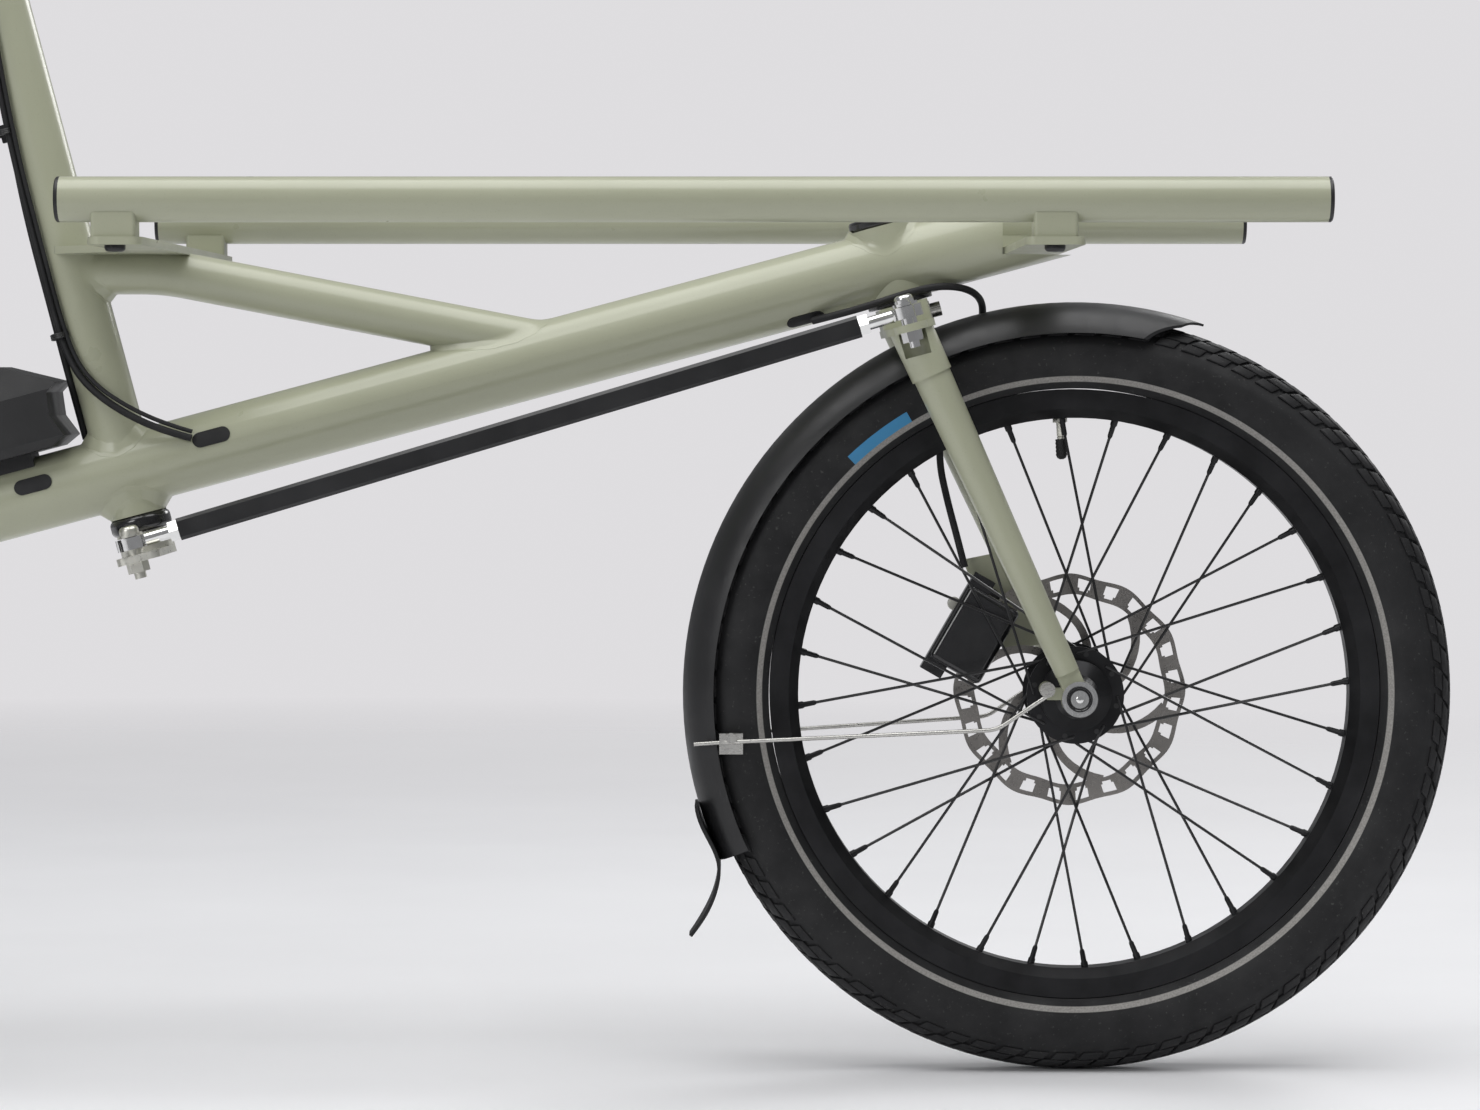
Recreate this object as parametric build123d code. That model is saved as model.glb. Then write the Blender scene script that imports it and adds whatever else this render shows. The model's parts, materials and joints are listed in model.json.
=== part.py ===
from build123d import *
import os
from math import atan2, cos, degrees, pi, radians, sin, sqrt, tan

# Cargo bicycle: a long sloping main tube carries a flat load platform over a small front wheel,
# and a square drag link joins the steering column behind the platform to the fork below it.
# All sizes are in millimetres. +X is forwards, +Y is the rider's left, +Z is up.
# Pieces are laid out from the front axle and moved to the middle of the wheelbase when saved.

# ---------------------------------------------------------------- driving dimensions
FRONT_R = 257.0            # front tyre radius (55-406)
REAR_R = 334.0             # rear tyre radius (55-559)
TYRE_W = 55.0              # tyre section
STEER_TILT = 14.8          # steering axes lean back from vertical
FORK_OFFSET = 46.3         # front axle ahead of the fork's steering axis
EYE_HEIGHT = 279.4         # link eye above the axle, along the steering axis
LINK_LENGTH = 538.1        # drag link, eye to eye
LINK_SLOPE = 16.6          # drag link rises forwards
ARM_REACH = 70.0           # link eye to steering axis, on both arms
MAIN_SLOPE = 15.0          # main tube rises forwards
MAIN_RISE = 33.8           # main tube's axis above the link eye, on the fork's axis
MAIN_OD = 50.0
MAIN_WALL = 1.8
MAIN_NOSE = 7.0            # main tube's front end behind the front axle
BB_BACK = 983.8            # crank axis behind the fork's axis, along the main tube
CHAINSTAY = 445.0          # crank axis to rear axle
COLUMN_OD = 38.0
COLUMN_WALL = 2.0
COLUMN_BOTTOM = 17.6       # above the link eye
COLUMN_TOP = 619.0         # above the link eye
SHAFT_OD = 28.6            # steering shaft and fork steerer
HEAD_OD = 45.0             # fork head tube
HEAD_WALL = 3.0
HEAD_BOTTOM = 10.0         # above the link eye
HEAD_TOP = 61.0
TOP_TUBE_OD = 35.0
TOP_TUBE_RISE = 391.0      # on the column, above the link eye
TOP_TUBE_SEAT = 370.0      # on the seat tube, above the crank axis
SEAT_TILT = 18.0
SEAT_OD = 31.8
SEAT_TOP = 500.0           # seat tube's end from the crank axis
BRACE_OD = 31.0
BRACE_WALL = 1.8
BRACE_SINK = 0.8           # brace's top below the plates' top
RAIL_OD = 28.6
RAIL_WALL = 2.0
RAIL_LENGTH = 792.6
RAIL_Z = 583.5             # rail axis above the ground
RAIL_Y = 250.0             # rail axis from the centre plane
RAIL_FRONT = 140.6         # rail's front end ahead of the front axle
PLATE = 5.0                # outrigger plates
PLATE_TOP = 560.0
FOOT_LENGTH = 28.0
FOOT_WIDTH = 24.0
REAR_FOOT = -617.8         # foot centres, from the front axle
FRONT_FOOT = -30.0
BOLT_R = 3.0               # rack bolts
LEG_Y = 58.0               # fork legs from the centre plane
LEG_TOP_R = 13.5
LEG_END_R = 8.3
CROWN_TOP = 6.0            # above the link eye
CROWN_BOTTOM = -12.0
FORK_SPACING = 100.0       # between the front dropouts
REAR_SPACING = 135.0       # between the rear dropouts
AXLE_R = 6.0
REAR_AXLE_R = 7.0
RUNNING = 0.05             # radial clearance of turning and sliding fits
OPEN_PIVOT = 0.5           # radial clearance at the drag link's front eye
AIR = 0.4                  # gap between pieces that must not touch
BALL_R = 6.0
EYE_R = 10.5
EYE_HALF = 4.0
BAR_SIZE = 15.0            # square drag link bar
BAR_END = 33.0             # bar's end from the eye
ARM_TOP = -8.0             # arm plates, from the link eye
ARM_THICK = 5.0
FENDER_GAP = 7.4           # fender's inside over the tyre
FENDER_W = 62.0
FENDER_DEPTH = 21.0
FENDER_WALL = 1.6
FENDER_START = 70.6        # front fender, degrees up from straight ahead
FENDER_FULL = 79.5
FENDER_END = 205.3
REAR_FENDER_START = 14.0
REAR_FENDER_END = 166.0
ROTOR_R = 80.0
ROTOR_THICK = 1.8
FRONT_ROTOR_Y = 35.0
REAR_ROTOR_Y = 50.0
SPOKES = 32
SPOKE_R = 1.0
FLANGE_THICK = 3.0
FRONT_FLANGE_Y = 22.0      # hub flanges from the centre plane
REAR_FLANGE_Y = 28.0
ROTOR_SEAT_R = 19.5
CRANK = 170.0
CRANK_INNER = 66.0         # crank arm's inner face from the centre plane
CRANK_THICK = 14.0
CHAIN_LINE = 50.0
CHAIN_PITCH = 12.7
RING_TEETH = 44
COG_TEETH = 18
CHAIN_WIDTH = 7.0
CHAIN_HEIGHT = 8.0
PEDAL_L = 92.0
PEDAL_W = 96.0
PEDAL_T = 22.0
STAND_PIVOT_BACK = 98.0    # stand pivot behind the crank axis
STAND_DROP = 31.36         # stand pivot below the crank axis
STAND_FORWARD = 28.0       # feet ahead of the pivot
STAND_R = 7.0
STAND_NARROW = 37.5        # leg's distance from the centre plane beside the pivot
STAND_WIDE = 108.0         # at the feet
STAND_EAR = 17.0           # lugs that hold the stand's pivot, from the centre plane
POST_OD = 27.2
POST_BOTTOM = 380.0        # from the crank axis along the seat tube
POST_TOP = 640.0
SADDLE_L = 272.0
SADDLE_W = 156.0
SADDLE_T = 46.0
BATTERY_L = 335.0
BATTERY_W = 78.0
BATTERY_T = 64.0
STEM_REACH = 62.0
BAR_OD = 22.2
BAR_HALF = 325.0           # half the handlebar's width
BAR_RISE = 48.0
BAR_SWEEP = 78.0
GRIP_R = 15.8
GRIP_L = 128.0
HOSE_R = 2.5

CRADLE_WALL = 5.0          # plate around the top of the motor
CRADLE_SIDE = 3.0          # cradle beyond the main tube on each side
FLAP_T = 2.4
WIRE_R = 1.4               # mudguard stays
ROD_END_R = 4.4            # shank of the link's rod ends
SHANK_START = 9.4          # shank's root from the eye's centre
LEVER_DROP = 38.0          # levers turned down from level
LEVER_OUT = 38.0           # lever's pivot ahead of the bar
LEVER_T = 7.0
LEVER_LENGTH = 112.0
LEVER_PIN = 2.5
PEDAL_INNER = 86.0         # pedal's inner side from the centre plane
PEDAL_PIN = 4.5
MOTOR_LEFT = 52.0          # motor's sides from the centre plane
MOTOR_RIGHT = 38.0
SPINDLE_R = 10.0

CRADLE_REACH = 62.0        # main tube's rear end ahead of the crank axis
TOP_TUBE_WALL = 1.6
SEAT_COLLAR = 4.5          # seat clamp collar over the tube's radius
SEAT_COLLAR_LENGTH = 26.0
BRACE_LEVEL = 62.0         # brace's level run ahead of the column's axis
BRACE_REACH = 340.0        # brace's end ahead of the column's axis
FOOT_RISE = 6.0            # rail feet reach this far up into the rail
PLUG_LENGTH = 14.0         # rail caps inside the rail
CAP_LENGTH = 2.6
BOLT_HEAD_R = 6.6
BOLT_HEAD = 4.2
CAP_LIP = 1.8              # column's covers beyond the tube's radius
BEARING_R = COLUMN_OD / 2 + CAP_LIP
CAP_LOW = 12.0             # cover under the column
CAP_HIGH = 10.0            # cover over the column
FORK_CAP = 7.0             # cover over the fork's head tube
LUG_DEPTH = 34.0           # fork crown, front to back
CROWN_WIDTH = 72.0
LUG_R = 17.0
ARM_END_R = 11.5
SLEEVE = 1.2               # sleeve's wall at the top of a leg
DROPOUT_R = 12.0
EYELET_X = -21.5           # mudguard eyelets behind the front axle
EYELET_Z = 263.3
EYELET_R = 5.0
STUD_R = 4.0
NUT_FLATS = 13.0
NUT_HEIGHT = 6.8
PORT_LENGTH = 26.0         # rubber ports in the main tube
PORT_HEIGHT = 10.5
PORTS = ((-582.3, 6.6), (-702.8, 6.6), (-187.9, -20.5))   # ahead of the front axle, above the tube's axis
CLIP_HEIGHTS = (148.0, 290.0, 430.0)                      # hose saddles, up the column
CASING = 4.2               # tyre casing
BEAD_SHARE = 0.82          # tyre section is cut off at this share of its radius, at the rim
RIM_DEPTH = 19.5
FRONT_FLANGE_R = 28.5      # spoke holes
REAR_FLANGE_R = 44.0
STEM_LENGTH = 44.0
STEM_R = 19.0
SHAFT_WALL = 2.4
ARM_HUB_R = 18.5
ARM_HUB = 16.0
BAR_WALL = 1.8
BAR_CLAMP_R = 15.9
STEM_GAP = 13.0            # stem above the column's top
STAY_R = 9.0               # chainstays
SEATSTAY_R = 8.0
LOW = (Align.CENTER, Align.CENTER, Align.MIN)

# ---------------------------------------------------------------- derived places
TILT = radians(STEER_TILT)
FORWARD = Vector(cos(TILT), 0, sin(TILT))
UP = Vector(-sin(TILT), 0, cos(TILT))
SLOPE = radians(MAIN_SLOPE)
ALONG = Vector(cos(SLOPE), 0, sin(SLOPE))

FRONT_AXLE = Vector(0, 0, FRONT_R)
FORK_EYE = FRONT_AXLE - FORWARD * FORK_OFFSET + UP * EYE_HEIGHT
COLUMN_EYE = FORK_EYE - Vector(cos(radians(LINK_SLOPE)), 0, sin(radians(LINK_SLOPE))) * LINK_LENGTH
FORK = Plane(origin=FORK_EYE, x_dir=FORWARD, z_dir=UP)
COLUMN = Plane(origin=COLUMN_EYE, x_dir=FORWARD, z_dir=UP)
MAIN_REF = FORK_EYE + UP * MAIN_RISE
MAIN = Plane(origin=MAIN_REF, x_dir=ALONG, z_dir=Vector(-sin(SLOPE), 0, cos(SLOPE)))
BB = MAIN_REF - ALONG * BB_BACK
REAR_AXLE = Vector(BB.X - sqrt(CHAINSTAY**2 - (REAR_R - BB.Z) ** 2), 0, REAR_R)
SEAT_DIR = Vector(-sin(radians(SEAT_TILT)), 0, cos(radians(SEAT_TILT)))
SEAT = Plane(origin=BB, x_dir=Vector(SEAT_DIR.Z, 0, -SEAT_DIR.X), z_dir=SEAT_DIR)
LENGTH = FRONT_R - REAR_AXLE.X + REAR_R
SHIFT = LENGTH / 2 - FRONT_R
STAND_PIVOT = Vector(BB.X - STAND_PIVOT_BACK, 0, BB.Z - STAND_DROP)
RING_R = RING_TEETH * CHAIN_PITCH / (2 * pi)
COG_R = COG_TEETH * CHAIN_PITCH / (2 * pi)
MAIN_R = MAIN_OD / 2
LINK_DIR = (FORK_EYE - COLUMN_EYE).normalized()
STEM_LOW = COLUMN_TOP + STEM_GAP
STEM_MID = STEM_LOW + STEM_LENGTH / 2


# ---------------------------------------------------------------- shape helpers
def rod(start, end, radius):
    """Solid cylinder between two points."""
    start, end = Vector(*start), Vector(*end)
    return Plane(origin=start, z_dir=end - start) * Cylinder(radius, (end - start).length, align=LOW)


def pipe(start, end, radius, wall):
    """Hollow cylinder between two points."""
    return rod(start, end, radius) - rod(start, end, radius - wall)


def cone_rod(start, end, radius_start, radius_end):
    """Tapered round bar between two points."""
    start, end = Vector(*start), Vector(*end)
    return Plane(origin=start, z_dir=end - start) * Cone(
        radius_start, radius_end, (end - start).length, align=LOW
    )


def across(x, y0, y1, z, radius):
    """Cylinder along Y."""
    return rod((x, y0, z), (x, y1, z), radius)


def bent(points, radius, bends, wall=0.0):
    """Round bar or tube along straight runs joined by arcs."""
    path = FilletPolyline(*points, radius=bends)
    start = Vector(*points[0])
    face = Plane(origin=start, z_dir=Vector(*points[1]) - start)
    section = Circle(radius)
    if wall:
        section = section - Circle(radius - wall)
    return sweep(face * section, path=path)


def cord(name, points, radius):
    """Hose along hand-chosen points, each corner rounded as widely as its runs allow."""
    vectors = [Vector(*p) for p in points]
    bends = []
    for before, here, after in zip(vectors, vectors[1:], vectors[2:]):
        run = min((here - before).length, (after - here).length)
        turn = radians((here - before).get_angle(after - here))
        bends.append(0.45 * run / tan(turn / 2))
    path = FilletPolyline(*points, radius=bends)
    face = Plane(origin=vectors[0], z_dir=vectors[1] - vectors[0])
    body = sweep(face * Circle(radius), path=path)
    ratio = body.volume / (pi * radius**2 * path.length)
    print(f"{name}: length {path.length:.0f}, smallest radius {min(bends):.0f}, volume ratio {ratio:.4f}")
    return body


def spin(profile, centre, start=0.0, arc=360.0):
    """Turn a profile (x = radius, y = sideways) about a wheel axis; angles rise from straight ahead."""
    turned = Rot(0, -start, 0) * (Plane.XY * profile)
    return Pos(centre.X, 0, centre.Z) * revolve(turned, Axis((0, 0, 0), (0, -1, 0)), arc)


def hexagon_bar(plane, flats, height):
    return extrude(plane * RegularPolygon(flats / sqrt(3), 6), height)


def save(name, pieces):
    """Write one sub-part, moved to the shared origin."""
    pieces = pieces if isinstance(pieces, list) else [pieces]
    solids = [s for piece in pieces for s in (Pos(SHIFT, 0, 0) * piece).solids()]
    node = solids[0] if len(solids) == 1 else Compound(solids)
    export_step(node, f"parts/{name}.step")


# ---------------------------------------------------------------- frame tubes
def main_start():
    """Main tube's rear end, against the motor cradle."""
    return MAIN_REF - ALONG * (BB_BACK - CRADLE_REACH)


def main_end():
    distance = (-MAIN_NOSE - MAIN_REF.X) / cos(SLOPE)
    return MAIN_REF + ALONG * distance


def column_point(height):
    return COLUMN_EYE + UP * height


def fork_point(height):
    return FORK_EYE + UP * height


def seat_point(distance):
    return BB + SEAT_DIR * distance


def main_surface(x, offset):
    """Centre-plane point a given height above the main tube's axis."""
    axis = MAIN_REF + ALONG * ((x - MAIN_REF.X) / cos(SLOPE))
    return axis + Vector(-sin(SLOPE), 0, cos(SLOPE)) * offset


def main_tube():
    """Long main tube, open where the column and the fork's head tube pass through it."""
    tube = pipe(main_start(), main_end(), MAIN_R, MAIN_WALL)
    tube -= rod(column_point(0), column_point(120), COLUMN_OD / 2)
    tube -= rod(fork_point(-10), fork_point(90), HEAD_OD / 2)
    tube -= extrude(motor_outline(CRADLE_WALL), 60, both=True)
    notch = Pos(FRONT_FOOT - 20, 0, PLATE_TOP - PLATE) * Box(
        120, 80, 90, align=(Align.MIN, Align.CENTER, Align.MIN)
    )
    return tube - notch


def column_tube():
    return pipe(column_point(COLUMN_BOTTOM), column_point(COLUMN_TOP), COLUMN_OD / 2, COLUMN_WALL)


def brace_path():
    """Brace from the column to the main tube: level at first, then down forwards."""
    start = column_point((PLATE_TOP - BRACE_SINK - BRACE_OD / 2 - COLUMN_EYE.Z) / cos(TILT))
    bend = Vector(start.X + BRACE_LEVEL, 0, start.Z)
    end = main_surface(start.X + BRACE_REACH, 0)
    return [start, bend, end]


def brace_tube():
    """Bent brace, coped to the column and the main tube and flattened under the rear plate."""
    tube = bent([tuple(p) for p in brace_path()], BRACE_OD / 2, [160], BRACE_WALL)
    tube -= rod(column_point(60), column_point(320), COLUMN_OD / 2)
    tube -= rod(main_start(), main_end(), MAIN_R)
    tube -= rear_outrigger_blank()
    return tube.solids().sort_by(lambda s: s.volume)[-1]


def top_tube():
    tube = pipe(column_point(TOP_TUBE_RISE), seat_point(TOP_TUBE_SEAT), TOP_TUBE_OD / 2, TOP_TUBE_WALL)
    tube -= rod(column_point(200), column_point(600), COLUMN_OD / 2)
    tube -= rod(seat_point(200), seat_point(600), SEAT_OD / 2)
    return tube.solids().sort_by(lambda s: s.volume)[-1]


def motor_outline(grow=0.0):
    """Side outline of the mid-drive motor about the crank axis."""
    points = [(-74, -46), (-30, -82), (52, -70), (96, -12), (92, 34), (40, 62), (-54, 50), (-80, 8)]
    face = make_face(Polyline(*points, close=True))
    face = fillet(face.vertices(), 20)
    if grow:
        face = offset(face, grow, kind=Kind.ARC)
    return Plane(origin=BB, x_dir=(1, 0, 0), z_dir=(0, -1, 0)) * face


def motor():
    """Motor housing with bosses around the crank spindle; narrower on the chain's side."""
    right = Pos(0, -MOTOR_RIGHT, 0) * motor_outline()
    body = extrude(right, -(MOTOR_RIGHT + MOTOR_LEFT))
    body = fillet(body.edges().filter_by(Axis.Y, reverse=True), 7)
    body += across(BB.X, -MOTOR_RIGHT + 2, -MOTOR_RIGHT - 2.5, BB.Z, 25)
    body += across(BB.X, MOTOR_LEFT - 2, MOTOR_LEFT + 7, BB.Z, 25)
    return body - across(BB.X, -90, 90, BB.Z, SPINDLE_R + RUNNING)


def seat_tube():
    """Seat tube welded to the cradle that the motor hangs in, with the collar at its top."""
    shell = extrude(motor_outline(CRADLE_WALL + 0.1), MAIN_R + CRADLE_SIDE, both=True)
    shell -= extrude(motor_outline(0.1), 40, both=True)
    keep = MAIN * Pos(-BB_BACK, 0, 90) * Box(320, 120, 220)
    shell = shell & keep
    shell = shell.solids().sort_by(lambda s: s.volume)[-1]
    tube = rod(seat_point(52), seat_point(SEAT_TOP), SEAT_OD / 2)
    tube += rod(seat_point(SEAT_TOP - SEAT_COLLAR_LENGTH), seat_point(SEAT_TOP), SEAT_OD / 2 + SEAT_COLLAR)
    tube -= extrude(motor_outline(CRADLE_WALL), 60, both=True)
    bore = rod(seat_point(70), seat_point(SEAT_TOP + 5), POST_OD / 2 + RUNNING)
    slot = SEAT * Pos(-20, 0, SEAT_TOP - 10) * Box(20, 2.5, 50)
    whole = shell + tube - bore - slot
    whole -= rod(main_start(), MAIN_REF, MAIN_R)
    return whole


def dropout(side):
    """Plate that holds the rear axle on one side."""
    y = side * (REAR_SPACING / 2 + 3)
    plate = across(REAR_AXLE.X, y - 3, y + 3, REAR_AXLE.Z, 19)
    plate += Pos(REAR_AXLE.X + 17, y, REAR_AXLE.Z + 6) * Box(34, 6, 26)
    return plate - across(REAR_AXLE.X, -90, 90, REAR_AXLE.Z, REAR_AXLE_R)


def chainstays():
    """Two stays from the cradle, wide beside the tyre, with the dropouts and the stand's ears."""
    level = BB.Z + 18
    joined = Pos(BB.X - 90, 0, level) * Box(22, 60, 22)
    for side in (-1, 1):
        y_end = side * (REAR_SPACING / 2 + 3)
        points = [
            (BB.X - 84, side * 20, level),
            (BB.X - 106, side * 46, level),
            (BB.X - 190, side * 50, level),
            (REAR_AXLE.X + 22, y_end, REAR_AXLE.Z + 2),
        ]
        tube = bent(points, STAY_R, [18, 40])
        tube -= across(REAR_AXLE.X, -90, 90, REAR_AXLE.Z, 17)
        joined += tube
        joined += dropout(side)
        ear_y = side * STAND_EAR
        ear = across(STAND_PIVOT.X, ear_y - 3, ear_y + 3, STAND_PIVOT.Z, 12)
        ear += Pos(STAND_PIVOT.X + 1, ear_y, STAND_PIVOT.Z) * Box(22, 6, level - STAND_PIVOT.Z, align=LOW)
        joined += ear
    joined += Pos(REAR_AXLE.X + 70, 61.5, REAR_AXLE.Z + 14) * Box(30, 7, 28)
    joined -= across(STAND_PIVOT.X, -60, 60, STAND_PIVOT.Z, STAND_R + RUNNING)
    joined -= extrude(motor_outline(CRADLE_WALL + 0.1), 60, both=True)
    return joined


def seatstays():
    """Two thin stays from the dropouts to the back of the seat tube, with a bridge."""
    top = seat_point(SEAT_TOP - 52)
    stays = []
    for side in (-1, 1):
        y_end = side * (REAR_SPACING / 2 + 3)
        points = [
            (REAR_AXLE.X + 14, y_end, REAR_AXLE.Z + 24),
            (REAR_AXLE.X + 190, side * 48, REAR_AXLE.Z + 288),
            (top.X - 14, side * 14, top.Z),
        ]
        tube = bent(points, SEATSTAY_R, [120])
        tube -= dropout(side)
        tube -= rod(seat_point(100), seat_point(SEAT_TOP), SEAT_OD / 2 + 0.1)
        tube = tube.solids().sort_by(lambda s: s.volume)[-1]
        stays.append(tube)
    bridge = across(REAR_AXLE.X + 200, -48, 48, REAR_AXLE.Z + 300, 7)
    for stay in stays:
        bridge -= stay
    bridge = bridge.solids().sort_by(lambda s: s.volume)[-1]
    return stays + [bridge]


# ---------------------------------------------------------------- load platform
def rear_outrigger_blank():
    """Plan of the rear plate: narrow at the rails, wide where it wraps the column."""
    x0 = REAR_FOOT - 16.2
    x1 = REAR_FOOT + 17.8
    neck = column_point((PLATE_TOP - COLUMN_EYE.Z) / cos(TILT)).X - 4
    end = RAIL_Y + FOOT_WIDTH / 2 + 2
    points = [
        (x1, -end), (x1, end), (x0, end), (x0, 92), (neck, 34),
        (neck, -34), (x0, -92), (x0, -end),
    ]
    face = make_face(Polyline(*points, close=True))
    face = fillet(face.vertices(), 8)
    return extrude(Pos(0, 0, PLATE_TOP - PLATE) * face, PLATE)


def bolt_holes(x):
    """Clearance holes for the two bolts of one plate."""
    return [
        rod((x, side * RAIL_Y, PLATE_TOP - 4 * PLATE), (x, side * RAIL_Y, PLATE_TOP + PLATE), BOLT_R + 0.1)
        for side in (-1, 1)
    ]


def outrigger_rear():
    plate = rear_outrigger_blank() - rod(column_point(60), column_point(320), COLUMN_OD / 2)
    for hole in bolt_holes(REAR_FOOT):
        plate -= hole
    return plate


def outrigger_front():
    """Straight plate let into the notched nose of the main tube."""
    end = RAIL_Y + FOOT_WIDTH / 2 + 2
    width = 37.0
    face = Rectangle(width, 2 * end)
    face = fillet(face.vertices(), 6)
    plate = extrude(Pos(FRONT_FOOT, 0, PLATE_TOP - PLATE) * face, PLATE)
    for hole in bolt_holes(FRONT_FOOT):
        plate -= hole
    return plate


def rail(side):
    """Platform rail with the two feet it is bolted down by."""
    y = side * RAIL_Y
    back = RAIL_FRONT - RAIL_LENGTH
    bar = rod((back, y, RAIL_Z), (RAIL_FRONT, y, RAIL_Z), RAIL_OD / 2)
    for x in (REAR_FOOT, FRONT_FOOT):
        height = RAIL_Z - RAIL_OD / 2 + FOOT_RISE - PLATE_TOP
        foot = Pos(x, y, PLATE_TOP) * Box(FOOT_LENGTH, FOOT_WIDTH, height, align=LOW)
        foot = fillet(foot.edges().filter_by(Axis.Z), 2.5)
        bar += foot
    bar -= rod((back - 1, y, RAIL_Z), (RAIL_FRONT + 1, y, RAIL_Z), RAIL_OD / 2 - RAIL_WALL)
    for x in (REAR_FOOT, FRONT_FOOT):
        bar -= rod((x, y, PLATE_TOP - 1), (x, y, PLATE_TOP + 8), BOLT_R)
    return bar


def rail_end_caps():
    """Domed caps pushed into the four rail ends."""
    caps = []
    back = RAIL_FRONT - RAIL_LENGTH
    for side in (-1, 1):
        for x, outward in ((back, -1), (RAIL_FRONT, 1)):
            rim = rod(
                (x, side * RAIL_Y, RAIL_Z), (x + outward * CAP_LENGTH, side * RAIL_Y, RAIL_Z), RAIL_OD / 2
            )
            rim = chamfer(rim.edges().sort_by(lambda e: -e.center().X * outward)[0], 0.9)
            plug = rod(
                (x, side * RAIL_Y, RAIL_Z), (x - outward * PLUG_LENGTH, side * RAIL_Y, RAIL_Z),
                RAIL_OD / 2 - RAIL_WALL,
            )
            caps.append(rim + plug)
    return caps


def rack_bolts():
    """Dome-headed bolts under the plates, up into the rail feet."""
    bolts = []
    for x in (REAR_FOOT, FRONT_FOOT):
        for side in (-1, 1):
            base = PLATE_TOP - PLATE
            shank = rod((x, side * RAIL_Y, base), (x, side * RAIL_Y, PLATE_TOP + 7), BOLT_R)
            head = rod((x, side * RAIL_Y, base - BOLT_HEAD), (x, side * RAIL_Y, base), BOLT_HEAD_R)
            head = fillet(head.edges().sort_by(Axis.Z)[0], 2.6)
            socket = hexagon_bar(Plane((x, side * RAIL_Y, base - BOLT_HEAD - 0.1)), 4.0, 2.4)
            bolts.append(shank + head - socket)
    return bolts


# ---------------------------------------------------------------- head tube and bearings
def fork_head_tube():
    """Short tube that pierces the main tube; the fork turns in it."""
    return pipe(fork_point(HEAD_BOTTOM), fork_point(HEAD_TOP), HEAD_OD / 2, HEAD_WALL)


def bearing_cap(plane, low, high, outer, bore, roundness):
    ring = plane * Pos(0, 0, low) * Cylinder(outer, high - low, align=LOW)
    ring = fillet(ring.edges().filter_by(GeomType.CIRCLE), roundness)
    return ring - plane * Pos(0, 0, low - 1) * Cylinder(bore, high - low + 2, align=LOW)


def bearing_caps():
    """Covers with their bearings at both ends of the column and of the fork's head tube."""
    bore = SHAFT_OD / 2 + RUNNING
    return [
        bearing_cap(COLUMN, COLUMN_BOTTOM - CAP_LOW, COLUMN_BOTTOM, BEARING_R, bore, 4.2),
        bearing_cap(COLUMN, COLUMN_TOP, COLUMN_TOP + CAP_HIGH, BEARING_R, bore, 3),
        bearing_cap(FORK, CROWN_TOP + AIR, HEAD_BOTTOM, HEAD_OD / 2 - 0.3, bore, 0.9),
        bearing_cap(FORK, HEAD_TOP, HEAD_TOP + FORK_CAP, HEAD_OD / 2 - 1.5, bore, 2),
    ]


# ---------------------------------------------------------------- battery and cable fittings
def battery():
    """Battery on the main tube behind the column, with a hollowed front face."""
    front = (column_point(80).X - 18.5 - MAIN_REF.X) / cos(SLOPE)
    base = MAIN_R + 3.0
    top = base + BATTERY_T
    rear = front - BATTERY_L
    half = BATTERY_W / 2
    outline = make_face(
        Polyline(
            (front - 12, base), (front - 2, base + 5), (front - 8, base + 20), (front - 6, base + 36),
            (front + 2, base + 41), (front - 34, top - 3), (front - 60, top), (rear + 20, top),
            (rear, top - 16), (rear, base), close=True,
        )
    )
    side = Plane(origin=MAIN.origin, x_dir=MAIN.x_dir, z_dir=(0, -1, 0))
    body = extrude(side * outline, half, both=True)
    section = make_face(
        Polyline(
            (-half + 5, base), (half - 5, base), (half, base + 6), (half, base + 38),
            (half - 12, top), (12 - half, top), (-half, base + 38), (-half, base + 6), close=True,
        )
    )
    cross = Plane(origin=MAIN.origin, x_dir=(0, 1, 0), z_dir=MAIN.x_dir)
    body = body & extrude(cross * section, 2 * BB_BACK, both=True)
    foot = MAIN * Pos(rear + BATTERY_L / 2, 0, base) * Box(
        BATTERY_L - 60, 34, 12, align=(Align.CENTER, Align.CENTER, Align.MAX)
    )
    foot -= rod(main_start(), main_end(), MAIN_R)
    return body + foot - extrude(motor_outline(CRADLE_WALL + AIR), 60, both=True)


def grommet(x, offset, side=-1):
    """Oval rubber port set into the side of the main tube."""
    angle = degrees(atan2(offset, sqrt(MAIN_R**2 - offset**2)))
    place = MAIN * Pos((x - MAIN_REF.X) / cos(SLOPE), 0, 0) * Rot(side * angle, 0, 0)
    face = place * Pos(0, side * (MAIN_R + 1.3), 0) * Rot(90, 0, 0) * SlotOverall(PORT_LENGTH, PORT_HEIGHT)
    body = extrude(face, 6, both=True)
    shell = rod(main_start(), main_end(), MAIN_R + 1.0) - rod(main_start(), main_end(), MAIN_R - MAIN_WALL)
    return body & shell


def hose_clip(height):
    """Small saddle on the column that the hoses are tied to."""
    block = COLUMN * Pos(-COLUMN_OD / 2 - 1.2, -4, height) * Box(5, 5, 12)
    return block - rod(column_point(0), column_point(COLUMN_TOP), COLUMN_OD / 2)


def cable_fittings():
    """Rubber ports on the main tube and the hose saddles on the column."""
    return [grommet(x, offset) for x, offset in PORTS] + [hose_clip(h) for h in CLIP_HEIGHTS]


def main_tube_with_ports():
    """Main tube with the oval holes that the rubber ports fill."""
    tube = main_tube()
    for x, offset in PORTS:
        tube -= grommet(x, offset)
    return tube


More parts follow.
